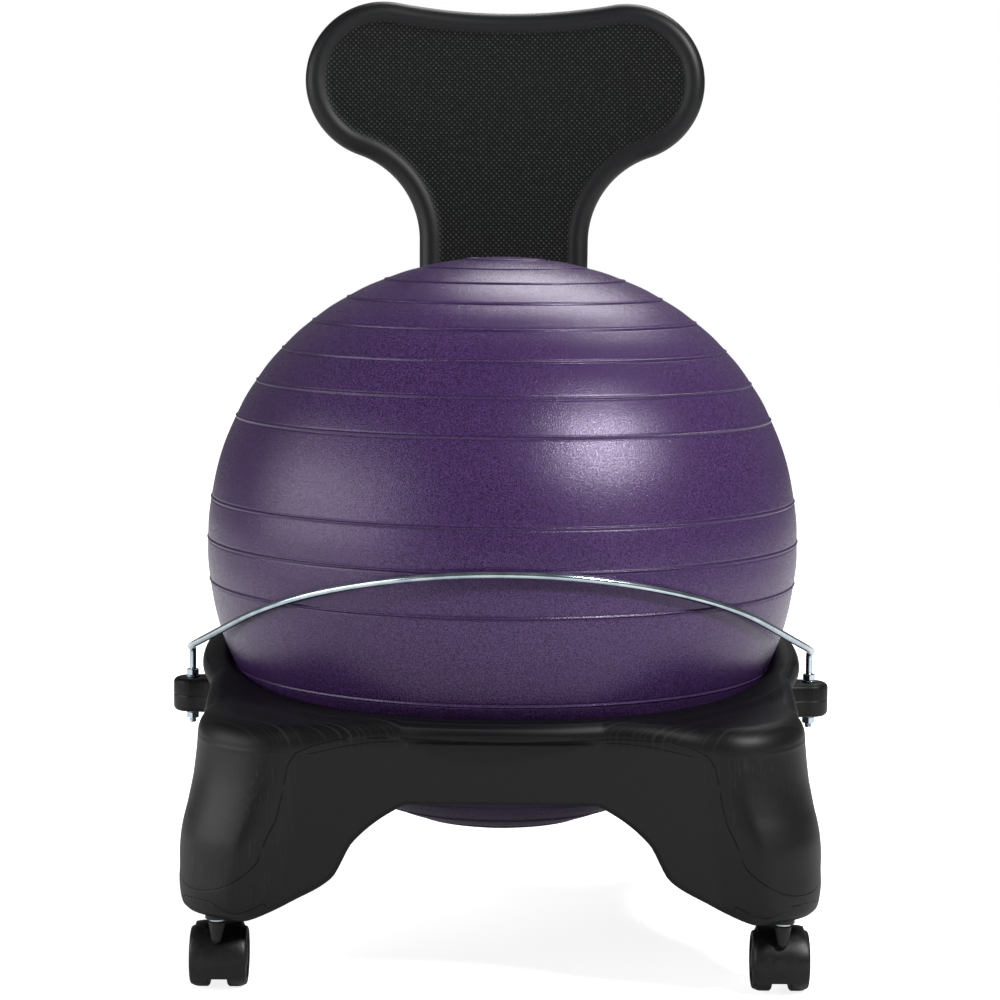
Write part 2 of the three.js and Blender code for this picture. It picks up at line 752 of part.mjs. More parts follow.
function makeBarFixings() {
  const washer = () => ring(barRadius + gap, washerRadius, 0, washerThickness, smallSides);
  for (const [name, side] of [['left', -1], ['right', 1]]) {
    const upper = earTop + gap;
    const lower = earBottom - gap - washerThickness;
    const at = (geometry, z) => geometry.translate(side * barSide, 0, z);
    place(`bar_washer_upper_${name}`, at(washer(), upper), 'zinc');
    place(`bar_nut_upper_${name}`, at(nut(), upper + washerThickness + gap), 'zinc');
    place(`bar_washer_lower_${name}`, at(washer(), lower), 'zinc');
    place(`bar_nut_lower_${name}`, at(nut(), lower - gap - nutHeight), 'zinc');
  }
}

// Backrest

const lobeZ = ballCentreZ + ballHalfHeight + backRise - lobeRadius;
const neckX = neckHalfWidth + neckArc;
const neckZ = lobeZ - Math.sqrt((neckArc + lobeRadius) ** 2 - (neckX - lobeSpread) ** 2);
// The top edge's arc dips between the lobes and touches both of them
const topArc = (lobeSpread ** 2 - topDip ** 2) / (2 * topDip) - lobeRadius + topDip;
const topZ = lobeZ + lobeRadius - topDip + topArc;

// The right half of the outline, drawn in by an inset, from the bottom middle to the top middle
function backHalfOutline(inset) {
  const corner = Math.max(stemCornerRadius - inset, gap);
  const stemHalf = stemHalfWidth - inset;
  const bottom = backBottom + inset * stemCornerRadius / rimWidth;
  const neckJoin = Math.atan2(lobeZ - neckZ, lobeSpread - neckX);
  const topJoin = Math.atan2(lobeZ - topZ, lobeSpread);
  const stem = stemShares.map((share) => [
    THREE.MathUtils.lerp(stemHalf, neckHalfWidth - inset, smoothstep(share)),
    THREE.MathUtils.lerp(bottom + corner, neckZ, share)]);
  return [
    [0, bottom],
    ...arcPoints(stemHalf - corner, bottom + corner, corner, -Math.PI / 2, 0,
      stemCornerSteps),
    ...stem,
    ...arcPoints(neckX, neckZ, neckArc + inset, Math.PI, neckJoin, neckSteps).slice(0, -1),
    ...arcPoints(lobeSpread, lobeZ, lobeRadius - inset, neckJoin - Math.PI, topJoin + Math.PI,
      lobeSteps),
    ...arcPoints(0, topZ, topArc + inset, topJoin, -Math.PI / 2, topSteps).slice(1),
  ];
}

function backSurface(x, z, depth) {
  const up = (z - backBottom) / (lobeZ + lobeRadius - backBottom);
  const high = smoothstep((z - neckZ) / (lobeZ - neckZ));
  const wrap = lobeWrap * (x / (lobeSpread + lobeRadius)) ** 2 * high;
  return backFront + depth - wrap + backLean * smoothstep((up - leanStart) / (1 - leanStart));
}

function backRing(inset, depth) {
  const right = backHalfOutline(inset);
  const left = right.slice(1, -1).reverse().map(([x, z]) => [-x, z]);
  return [...right, ...left].map(([x, z]) => [x, backSurface(x, z, depth), z]);
}

// Rings from the middle of the front, over the rim and round to the middle of the back
function backrestBlank() {
  const [deep, middle] = backInsetShares.map((share) => share * stemHalfWidth);
  const levels = [[deep, rimRecess], [middle, rimRecess], ...rimProfile, [middle, backThickness],
    [deep, backThickness]];
  const rings = levels.map(([inset, depth]) => backRing(inset, depth));
  const { positions, triangles } = skin(rings, false);
  const count = rings[0].length;
  const flat = (points) => points.map(([x, , z]) => new THREE.Vector2(x, z));
  const cap = (points, start, flip) => THREE.ShapeUtils.triangulateShape(flat(points), [])
    .forEach(([a, b, c]) => triangles.push(...(flip ? [a, c, b] : [a, b, c]).map((k) => k + start)));
  cap(rings[0], 0, true);
  cap(rings.at(-1), (rings.length - 1) * count, false);
  return meshFrom({ positions, triangles });
}

function makeBackrest() {
  const bores = boltBores(backFront - overrun, backFront + backThickness + overrun);
  place('backrest', build(backrestBlank(), [], bores), 'back');
}

const plateFront = backFront + backThickness + gap;

function makeClampPlate() {
  const outline = roundedRectangle(boltSpacingX / 2 + plateEdge, boltMiddle - boltSpacingZ / 2 - plateEdge,
    boltMiddle + boltSpacingZ / 2 + plateEdge, plateCorner);
  const blank = acrossY(outline, plateFront, plateFront + plateThickness);
  place('clamp_plate', build(blank, [], boltBores(plateFront - overrun, plateFront + plateThickness
    + overrun)), 'zinc');
}

function makeBolts() {
  const washerFront = plateFront + plateThickness + gap;
  const headFront = washerFront + boltWasherThickness + gap;
  boltPlaces().forEach(([x, z], i) => {
    const washer = ring(boltRadius + gap, boltWasherRadius, washerFront,
      washerFront + boltWasherThickness, roundSides).rotateX(-Math.PI / 2).translate(x, 0, z);
    place(`back_bolt_washer_${i + 1}`, washer, 'zinc');
    const head = acrossY(hexagon(boltFlats), headFront, headFront + boltHeadHeight).translate(x, 0, z);
    const shank = cylinderAlongY(boltRadius, backFront - boltGrip, headFront + boltHeadHeight / 2,
      smallSides).translate(x, 0, z);
    place(`back_bolt_${i + 1}`, build(head, [shank], []), 'zinc');
  });
}

makeBase();
eachCorner(makeCaster);
makeBall();
makeValvePlug();
makeBar();
makeBarFixings();
makeBackrest();
makeClampPlate();
makeBolts();

// The origin is under the middle of the whole chair
chair.updateMatrixWorld(true);
const reach = new THREE.Box3().setFromObject(chair);
chair.position.y = -(reach.min.y + reach.max.y) / 2;

export default chair;
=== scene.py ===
import json
import math

import bmesh
import bpy
import numpy as np
from mathutils import Matrix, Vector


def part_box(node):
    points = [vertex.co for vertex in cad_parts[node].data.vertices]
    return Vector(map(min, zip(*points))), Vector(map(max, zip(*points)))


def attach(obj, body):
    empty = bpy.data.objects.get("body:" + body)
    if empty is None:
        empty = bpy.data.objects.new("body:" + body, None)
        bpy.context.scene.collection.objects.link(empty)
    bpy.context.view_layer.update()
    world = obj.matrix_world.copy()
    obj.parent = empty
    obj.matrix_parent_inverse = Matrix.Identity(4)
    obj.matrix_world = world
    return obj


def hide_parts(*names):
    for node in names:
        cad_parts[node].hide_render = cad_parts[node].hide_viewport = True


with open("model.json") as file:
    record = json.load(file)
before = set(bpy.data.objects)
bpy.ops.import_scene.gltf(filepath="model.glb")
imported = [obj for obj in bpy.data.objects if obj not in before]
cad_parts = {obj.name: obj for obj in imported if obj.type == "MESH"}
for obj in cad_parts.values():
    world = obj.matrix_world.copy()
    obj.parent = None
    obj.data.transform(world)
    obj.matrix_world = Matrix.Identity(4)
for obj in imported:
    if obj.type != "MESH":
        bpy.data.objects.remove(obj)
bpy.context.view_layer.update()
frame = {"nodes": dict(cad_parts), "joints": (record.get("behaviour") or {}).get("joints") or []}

# Sizes here are in millimetres, except in finishes, lamps and the camera, which are in metres.
# z = 0 is the floor, and the ring's own centre is (0, ring_y), a little behind the ball's.
MM = 0.001


def box_mm(node):
    """Lowest corner, highest corner and middle of a CAD node, in millimetres"""
    low, high = (np.array(corner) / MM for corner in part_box(node))
    return low, high, (low + high) / 2


ball_half_height, ball_radius, ball_forward, rib_height = 244.0, 252.0, 10.0, 1.5
_, ball_top, ball_middle = box_mm("ball")
ball_y = ball_middle[1]
ball_z = ball_top[2] - ball_half_height
ring_y = ball_y + ball_forward
foot_z = box_mm("base_frame")[0][2]


# ---------------------------------------------------------------- shapes in numbers

def smooth(t):
    """0 below 0, 1 above 1, and 3t^2 - 2t^3 between"""
    t = np.clip(t, 0.0, 1.0)
    return t * t * (3 - 2 * t)


def curve_through(points):
    """A curve through the points that never overshoots: cubic pieces whose slope at each point is
    the harmonic mean of the slopes beside it, or 0 where they differ in sign"""
    x, y = np.array(points, float).T
    slope = np.diff(y) / np.diff(x)
    tangent = np.zeros(len(x))
    before, after = slope[:-1], slope[1:]
    same = before * after > 0
    total = np.where(same, before + after, 1.0)
    tangent[1:-1] = np.where(same, 2 * before * after / total, 0.0)

    def value(at):
        """The curve's height at a place along it"""
        at = np.clip(at, x[0], x[-1])
        i = np.clip(np.searchsorted(x, at, side="right") - 1, 0, len(x) - 2)
        width = x[i + 1] - x[i]
        t = (at - x[i]) / width
        bend = smooth(t)
        lift = width * t * (1 - t) * (tangent[i] * (1 - t) - tangent[i + 1] * t)
        return y[i] * (1 - bend) + y[i + 1] * bend + lift
    return value


def quads(rows, columns, wrap_rows=False, wrap_columns=False):
    """Corner numbers of the four-sided faces between the neighbours of a grid"""
    i = np.arange(rows if wrap_rows else rows - 1)[:, None]
    j = np.arange(columns if wrap_columns else columns - 1)[None, :]
    below, right = (i + 1) % rows, (j + 1) % columns
    corners = [i * columns + j, i * columns + right, below * columns + right, below * columns + j]
    return np.stack(np.broadcast_arrays(*corners), -1).reshape(-1, 4).tolist()


def grid(points, wrap_rows=False, wrap_columns=False):
    """A shell from points laid out in rows and columns"""
    rows, columns = points.shape[:2]
    return points.reshape(-1, 3), quads(rows, columns, wrap_rows, wrap_columns)


def arc(centre, radius, start, end, steps):
    """Points at centre + radius (cos a, sin a), a going evenly from start to end in degrees"""
    a = np.radians(np.linspace(start, end, steps + 1))
    return np.array(centre) + radius * np.stack([np.cos(a), np.sin(a)], -1)


def eased(points, reach, steps=5, closed=False):
    """A line whose corners are rounded: each corner P between A and B becomes the parabola
    (1-t)^2 (P + r a) + 2t(1-t) P + t^2 (P + r b), where a and b point to A and B and r is the
    reach, at most 0.45 of the shorter side"""
    p = np.array(points, float)
    before, after = np.roll(p, 1, 0) - p, np.roll(p, -1, 0) - p
    lb, la = np.linalg.norm(before, axis=1), np.linalg.norm(after, axis=1)
    r = np.minimum(np.broadcast_to(np.array(reach, float), lb.shape), 0.45 * np.minimum(lb, la))
    start = p + before / lb[:, None] * r[:, None]
    end = p + after / la[:, None] * r[:, None]
    t = np.linspace(0, 1, steps + 1)[None, :, None]
    bent = (1 - t) ** 2 * start[:, None] + 2 * t * (1 - t) * p[:, None] + t ** 2 * end[:, None]
    if closed:
        return bent.reshape(-1, 2)
    return np.concatenate([p[:1], bent[1:-1].reshape(-1, 2), p[-1:]])


def turned(profile, sides, axis="z", centre=(0, 0, 0)):
    """A profile of (radius r, height h) turned round an axis: (r cos a, r sin a, h), the three
    numbers moved round so that h lies along the axis"""
    r, h = np.array(profile, float).T
    a = np.linspace(0, 2 * np.pi, sides, endpoint=False)
    x, y = r[:, None] * np.cos(a), r[:, None] * np.sin(a)
    z = np.broadcast_to(h[:, None], x.shape)
    order = {"z": (x, y, z), "x": (z, x, y), "y": (y, z, x)}[axis]
    return grid(np.stack(order, -1) + np.array(centre, float), wrap_columns=True)


def slab(outline, profile, place):
    """A plate with worked edges: ring i is the outline moved in along its own normals by the
    profile's inset i, at the profile's height i, and both ends are closed flat"""
    outline, profile = np.array(outline, float), np.array(profile, float)
    along = np.roll(outline, -1, 0) - np.roll(outline, 1, 0)
    inward = np.stack([-along[:, 1], along[:, 0]], -1)
    inward /= np.linalg.norm(inward, axis=1)[:, None]
    flat = outline[None] + profile[:, 0, None, None] * inward[None]
    height = np.broadcast_to(profile[:, 1, None], flat.shape[:2])
    points = np.stack(place(flat[..., 0], flat[..., 1], height), -1)
    rows, columns = flat.shape[:2]
    verts, faces = grid(points, wrap_columns=True)
    first, last = list(range(columns)), list(range((rows - 1) * columns, rows * columns))
    return verts, faces + [first, last]


def edge(low, high, fillet, steps=5):
    """Insets and heights of a slab's side with both edges rounded by a quarter circle"""
    under = arc((fillet, low + fillet), fillet, 270, 180, steps)
    over = arc((fillet, high - fillet), fillet, 180, 90, steps)
    return np.concatenate([[[fillet * 1.6, low]], under, over, [[fillet * 1.6, high]]])


def block_outline(half_width, low, high, radius, steps=6):
    """A rectangle with round corners, counter-clockwise"""
    corners = [(half_width - radius, low + radius, 270), (half_width - radius, high - radius, 0),
               (radius - half_width, high - radius, 90), (radius - half_width, low + radius, 180)]
    return np.concatenate([arc((x, y), radius, start, start + 90, steps) for x, y, start in corners])


def along_x(centre=(0, 0, 0)):
    """Outline (y, z), height along x"""
    return lambda u, v, w: (w + centre[0], u + centre[1], v + centre[2])


def along_y(centre=(0, 0, 0)):
    """Outline (x, z), height along y"""
    return lambda u, v, w: (u + centre[0], w + centre[1], v + centre[2])


def along_z(centre=(0, 0, 0)):
    """Outline (x, y), height along z"""
    return lambda u, v, w: (u + centre[0], v + centre[1], w + centre[2])


def tube(path, radius, sides, out):
    """A round skin on a path: path + radius (cos a n + sin a b), where n is the given outward
    direction made square to the path, and b is square to both. Radius may vary by row and side"""
    tangent = np.gradient(path, axis=0)
    tangent /= np.linalg.norm(tangent, axis=1)[:, None]
    n = out - (out * tangent).sum(1)[:, None] * tangent
    n /= np.linalg.norm(n, axis=1)[:, None]
    b = np.cross(tangent, n)
    a = np.linspace(0, 2 * np.pi, sides, endpoint=False)
    around = np.cos(a)[None, :, None] * n[:, None] + np.sin(a)[None, :, None] * b[:, None]
    return grid(path[:, None] + radius[..., None] * around, wrap_columns=True)


# ---------------------------------------------------------------- pieces

def piece(name, shells, finish, body, replaced, crease=35.0, marks=None):
    """One mesh from closed shells of points and faces, with its normals outwards, that stands for one
    CAD node. finish is a material with its slot's name, whose name is not used, and marks are numbers
    per point, by attribute name, that the finish reads"""
    material, slot_name = finish
    verts, faces, start = [], [], 0
    for points, polygons in shells:
        verts.append(points)
        faces.extend([[k + start for k in polygon] for polygon in polygons])
        start += len(points)
    mesh = bpy.data.meshes.new(name)
    mesh.from_pydata((np.concatenate(verts) * MM).tolist(), [], faces)
    for key, values in (marks or {}).items():
        mesh.attributes.new(key, "FLOAT", "POINT").data.foreach_set("value", values.astype(np.float32))
    close_and_face_out(mesh)
    mesh.polygons.foreach_set("use_smooth", np.ones(len(mesh.polygons), bool))
    mesh.set_sharp_from_angle(angle=math.radians(crease))
    mesh.materials.append(material)
    made = bpy.data.objects.new(name, mesh)
    bpy.context.scene.collection.objects.link(made)
    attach(made, body)
    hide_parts(replaced)


def close_and_face_out(mesh):
    """Merges points within 0.002 mm of each other, as at poles, and turns all faces outwards"""
    work = bmesh.new()
    work.from_mesh(mesh)
    bmesh.ops.remove_doubles(work, verts=work.verts, dist=2e-6)
    bmesh.ops.recalc_face_normals(work, faces=work.faces)
    work.to_mesh(mesh)
    work.free()


# ---------------------------------------------------------------- finishes

def srgb(text):
    """An sRGB hex colour as linear numbers with alpha 1"""
    c = np.array([int(text[i:i + 2], 16) for i in (0, 2, 4)]) / 255
    linear = np.where(c <= 0.04045, c / 12.92, ((c + 0.055) / 1.055) ** 2.4)
    return (*linear.tolist(), 1.0)


def fill(tree, node, sockets):
    """Fills a node's sockets, named in a dictionary or in their own order in a tuple, with a value,
    a socket to link, or the first output of another node"""
    pairs = sockets.items() if isinstance(sockets, dict) else enumerate(sockets)
    for key, value in pairs:
        if isinstance(value, bpy.types.Node):
            value = value.outputs[0]
        if isinstance(value, bpy.types.NodeSocket):
            tree.links.new(value, node.inputs[key])
        else:
            node.inputs[key].default_value = value


def add(tree, kind, sockets=(), **settings):
    """Adds a shader node with its settings and its sockets filled"""
    node = tree.nodes.new("ShaderNode" + kind)
    for key, value in settings.items():
        setattr(node, key, value)
    fill(tree, node, sockets)
    return node


def new_finish(name):
    """A material with a Principled shader; returns the material, its tree, the shader, and the place
    on the piece in metres"""
    material = bpy.data.materials.new(name)
    material.use_nodes = True
    tree = material.node_tree
    tree.nodes.clear()
    shader = add(tree, "BsdfPrincipled")
    add(tree, "OutputMaterial", {"Surface": shader})
    return material, tree, shader, add(tree, "TexCoord").outputs["Object"]


# Grain of spark-eroded and blown plastic: real pits are 0.1 to 0.3 mm, too fine to show, so they are
# drawn 0.9 mm across
FINE_GRAIN = {"Scale": 1 / 0.0009, "Detail": 2.0}


def speckled_vinyl():
    """Soft PVC of an exercise ball, cast with a pearl grain that tints its sheen: violet with paler and
    darker specks about 1 mm across, satin, its skin pebbled so that highlights break up into sparks. The
    rib mark gives a line of painted shade along each side of a rib, at the groove by its foot"""
    material, tree, shader, place = new_finish("cast_speckled_pvc")
    pearl = 0.0012
    grain = add(tree, "TexNoise", {"Vector": place, "Scale": 1 / pearl, "Detail": 2.0, "Roughness": 0.8})
    cloud = add(tree, "TexNoise", {"Vector": place, "Scale": 9.0, "Detail": 2.0})
    speck = add(tree, "MapRange", (grain, 0.41, 0.6))
    tone = add(tree, "MixRGB", (speck, srgb("130627"), srgb("583a70")))
    shade = add(tree, "MapRange", (cloud, 0.35, 0.65, 0.0, 0.3))
    tone = add(tree, "MixRGB", (shade, tone, srgb("331f4a")))
    # Painted shade: a dark line along each side of a rib, where the groove at its foot lies in shade
    mark = add(tree, "Attribute", attribute_name="rib").outputs["Fac"]
    rib_shade_place = 1.25
    side = add(tree, "Math", (mark, rib_shade_place), operation="SUBTRACT")
    side = add(tree, "Math", (side,), operation="ABSOLUTE")
    line = add(tree, "MapRange", (side, 0.3, 0.8, 0.6, 0.0))
    tone = add(tree, "MixRGB", (line, tone, srgb("24143a")))
    bump = add(tree, "Bump", {"Strength": 0.5, "Distance": 0.0005, "Height": grain})
    rough = add(tree, "MapRange", (grain, 0.38, 0.62, 0.38, 0.2))
    fill(tree, shader, {"Base Color": tone, "Roughness": rough, "Normal": bump, "IOR": 1.53,
                        "Specular Tint": srgb("f1e4ff")})
    return material


def blown_polythene():
    """Blow-moulded polythene of the ring and legs: near black and low satin, with fine tool marks that
    run round the collar and aslant on the legs, and thin parting creases, darkened with painted shade
    and with a frayed paler lip here and there"""
    material, tree, shader, place = new_finish("blow_moulded_polythene")
    axes = add(tree, "SeparateXYZ", (place,)).outputs
    mark_width, mark_length, mark_tilt = 1 / 750, 0.05, 32
    slants = []
    for tilt in (mark_tilt, -mark_tilt):
        along = add(tree, "Mapping", {"Vector": place, "Rotation": (0, math.radians(tilt), 0),
                                      "Scale": (1 / mark_width, 1 / mark_width, 1 / mark_length)})
        slants.append(add(tree, "TexNoise", {"Vector": along, "Scale": 1.0, "Detail": 3.0, "Roughness": 0.6}))
    right = add(tree, "MapRange", (axes["X"], -0.01, 0.01))
    aslant = add(tree, "MixRGB", (right, *slants))
    flat = add(tree, "VectorMath", (place, (0, -ring_y * MM, 0)), operation="ADD")
    flat = add(tree, "VectorMath", (flat, (1, 1, 0)), operation="MULTIPLY")
    out = add(tree, "VectorMath", (flat,), operation="LENGTH").outputs["Value"]
    round_place = add(tree, "CombineXYZ", (out, 0.0, 0.0))
    rings = add(tree, "TexNoise", {"Vector": round_place, "Scale": 520.0, "Detail": 3.0, "Roughness": 0.6})
    patches = add(tree, "TexNoise", {"Vector": place, "Scale": 14.0, "Detail": 2.0})
    patches = add(tree, "MapRange", (patches, 0.46, 0.6))
    apart = add(tree, "VectorMath", (flat,), operation="ABSOLUTE")
    apart = add(tree, "SeparateXYZ", (apart,)).outputs
    corner = add(tree, "Math", (apart["X"], apart["Y"]), operation="MINIMUM")
    patches = add(tree, "Math", (patches, add(tree, "MapRange", (corner, 0.15, 0.19))), operation="MULTIPLY")
    below_collar = add(tree, "MapRange", (axes["Z"], 0.188, 0.202, 1.0, 0.0))
    patches = add(tree, "Math", (patches, below_collar), operation="MULTIPLY")
    slant_marks = add(tree, "Math", (add(tree, "MapRange", (aslant, 0.54, 0.72)), patches),
                      operation="MULTIPLY")
    on_collar = add(tree, "MapRange", (axes["Z"], 0.200, 0.214))
    ring_marks = add(tree, "Math", (add(tree, "MapRange", (rings, 0.5, 0.66)), on_collar),
                     operation="MULTIPLY")
    streak = add(tree, "Math", (slant_marks, ring_marks), operation="MAXIMUM")
    grooves = []
    for name in ("panel_crease", "foot_crease"):
        away = add(tree, "Attribute", attribute_name=name).outputs["Fac"]
        away = add(tree, "Math", (away,), operation="ABSOLUTE")
        grooves.append(add(tree, "MapRange", (away, 0.2, 0.7, 0.8, 0.0)))
    groove = add(tree, "Math", grooves, operation="MAXIMUM")
    # Painted shade: the creases are coloured near black and lose gloss, standing in for the shade in their
    # grooves; frayed patches along them are paler
    frayed = add(tree, "TexNoise", {"Vector": place, "Scale": 45.0, "Detail": 2.0})
    frayed = add(tree, "MapRange", (frayed, 0.58, 0.64))
    crease_shade_tone = add(tree, "MixRGB", (frayed, srgb("050506"), srgb("2a2b2d")))
    amount = add(tree, "Math", (streak, 0.65), operation="MULTIPLY")
    tone = add(tree, "MixRGB", (amount, srgb("0b0b0c"), srgb("2c2e31")))
    tone = add(tree, "MixRGB", (groove, tone, crease_shade_tone))
    rough = add(tree, "MapRange", (streak, 0.0, 1.0, 0.44, 0.52))
    fine = add(tree, "TexNoise", {"Vector": place, **FINE_GRAIN})
    height = add(tree, "Math", (streak, fine), operation="ADD")
    height = add(tree, "Math", (height, 0.2), operation="MULTIPLY")
    height = add(tree, "Math", (height, groove), operation="SUBTRACT")
    gloss = add(tree, "MapRange", (on_collar, 0.0, 1.0, 0.3, 0.16))
    gloss = add(tree, "MixRGB", (groove, gloss, (0.1, 0.1, 0.1, 1)))
    bump = add(tree, "Bump", {"Strength": 0.5, "Distance": 0.0005, "Height": height})
    fill(tree, shader, {"Base Color": tone, "Roughness": rough, "Normal": bump, "IOR": 1.51,
                        "Specular IOR Level": gloss})
    return material


def back_plastic():
    """Moulded polypropylene of the backrest: black, a smooth satin rim and a recessed face with a
    lattice of raised points 3.5 mm apart at 45 degrees, whose tips catch the light, drawn as a painted
    highlight"""
    material, tree, shader, place = new_finish("moulded_polypropylene_with_point_lattice")
    axes = add(tree, "SeparateXYZ", (place,)).outputs
    face = add(tree, "Attribute", attribute_name="face").outputs["Fac"]
    pitch = 0.00354    # of the points along their rows
    waves = []
    for sign in ("ADD", "SUBTRACT"):
        total = add(tree, "Math", (axes["X"], axes["Z"]), operation=sign)
        total = add(tree, "Math", (total, math.sqrt(2) * math.pi / pitch), operation="MULTIPLY")
        waves.append(add(tree, "Math", (total,), operation="COSINE"))
    lattice = add(tree, "Math", waves, operation="ADD")
    # Painted highlight: the lattice's tips are coloured paler, standing in for the glints they catch, more
    # strongly in some patches than others
    point = add(tree, "Math", (add(tree, "MapRange", (lattice, 1.0, 1.8)), face), operation="MULTIPLY")
    pit = add(tree, "Math", (add(tree, "MapRange", (lattice, -2.0, 1.0)), face), operation="MULTIPLY")
    glint_patches = add(tree, "TexNoise", {"Vector": place, "Scale": 260.0, "Detail": 1.0})
    glint_patches = add(tree, "MapRange", (glint_patches, 0.4, 0.6, 0.35, 0.9))
    amount = add(tree, "Math", (point, glint_patches), operation="MULTIPLY")
    tone = add(tree, "MixRGB", (face, srgb("101113"), srgb("070808")))
    tone = add(tree, "MixRGB", (amount, tone, srgb("4c4f51")))
    rough = add(tree, "MapRange", (face, 0.0, 1.0, 0.46, 0.56))
    gloss = add(tree, "MapRange", (face, 0.0, 1.0, 0.35, 0.17))
    fine = add(tree, "TexNoise", {"Vector": place, **FINE_GRAIN})
    fine = add(tree, "Math", (fine, 0.1), operation="MULTIPLY")
    height = add(tree, "Math", (pit, fine), operation="ADD")
    bump = add(tree, "Bump", {"Strength": 0.6, "Distance": 0.0005, "Height": height})
    fill(tree, shader, {"Base Color": tone, "Roughness": rough, "Normal": bump, "IOR": 1.49,
                        "Specular IOR Level": gloss})
    return material


def zinc_plate():
    """Bright zinc on drawn steel rod and pressed hardware: a cool grey metal, smooth along the
    rod, with faint cloudy patches from the bath"""
    material, tree, shader, place = new_finish("bright_zinc_plated_steel")
    cloud = add(tree, "TexNoise", {"Vector": place, "Scale": 60.0, "Detail": 3.0})
    tone = add(tree, "MixRGB", (add(tree, "MapRange", (cloud, 0.35, 0.65)), srgb("a3b3bd"), srgb("c4cfd6")))
    rough = add(tree, "MapRange", (cloud, 0.3, 0.7, 0.12, 0.2))
    fine = add(tree, "TexNoise", {"Vector": place, **FINE_GRAIN})
    bump = add(tree, "Bump", {"Strength": 0.12, "Distance": 0.0001, "Height": fine})
    fill(tree, shader, {"Base Color": tone, "Roughness": rough, "Normal": bump, "Metallic": 1.0})
    return material


def caster_nylon():
    """Injection-moulded nylon of the casters: black, satin, with a faint spark-eroded grain and a
    little dust and rub on it"""
    material, tree, shader, place = new_finish("injection_moulded_nylon")
    rub = add(tree, "TexNoise", {"Vector": place, "Scale": 120.0, "Detail": 3.0, "Roughness": 0.65})
    tone = add(tree, "MixRGB", (add(tree, "MapRange", (rub, 0.5, 0.75)), srgb("0c0c0d"), srgb("19191b")))
    rough = add(tree, "MapRange", (rub, 0.3, 0.7, 0.34, 0.48))
    fine = add(tree, "TexNoise", {"Vector": place, **FINE_GRAIN})
    bump = add(tree, "Bump", {"Strength": 0.3, "Distance": 0.0003, "Height": fine})
    fill(tree, shader, {"Base Color": tone, "Roughness": rough, "Normal": bump, "IOR": 1.53,
                        "Specular IOR Level": 0.36})
    return material


def plug_polythene():
    """Soft white polythene of the valve plug: off-white, waxy, lightly soiled"""
    material, tree, shader, place = new_finish("white_polythene")
    soil = add(tree, "TexNoise", {"Vector": place, "Scale": 300.0, "Detail": 2.0})
    tone = add(tree, "MixRGB", (add(tree, "MapRange", (soil, 0.4, 0.7)), srgb("e8e6e0"), srgb("d6d2c8")))
    rough = add(tree, "MapRange", (soil, 0.3, 0.7, 0.42, 0.55))
    bump = add(tree, "Bump", {"Strength": 0.2, "Distance": 0.0001, "Height": soil})
    fill(tree, shader, {"Base Color": tone, "Roughness": rough, "Normal": bump})
    return material


# Each finish with its slot's name
vinyl = speckled_vinyl(), "ball_vinyl"
polythene = blown_polythene(), "base_plastic"
back_finish = back_plastic(), "back_plastic"
zinc = zinc_plate(), "zinc_steel"
nylon = caster_nylon(), "caster_plastic"
white_plug = plug_polythene(), "valve_plastic"


# ---------------------------------------------------------------- ball

# The ribs' places, as angles up from the ball's widest place: three round the middle, and eight above
# and below them, evenly apart
rib_step, last_rib, valve_hole = 8.0, 84.0, 5.0
rib_angles = np.radians(np.concatenate([np.arange(-25, -last_rib, -rib_step)[::-1], [-7, 1.4, 9.5],
                                        np.arange(26.3, last_rib, rib_step)]))


def ball_radius_at(z):
    """Radius of the ball's smooth skin at a height up to its widest place"""
    return ball_radius * np.sqrt(1 - ((z - ball_z) / ball_half_height) ** 2)


# Stands for a distance beyond the reach of any line that a finish draws
no_mark = 9.0


def swell(t):
    """How much fuller than an ellipse the blown ball is: 1 + 0.013 sin(2t)^2 above its widest place"""
    fuller = 0.013
    return 1 + fuller * np.sin(2 * np.maximum(t, 0)) ** 2


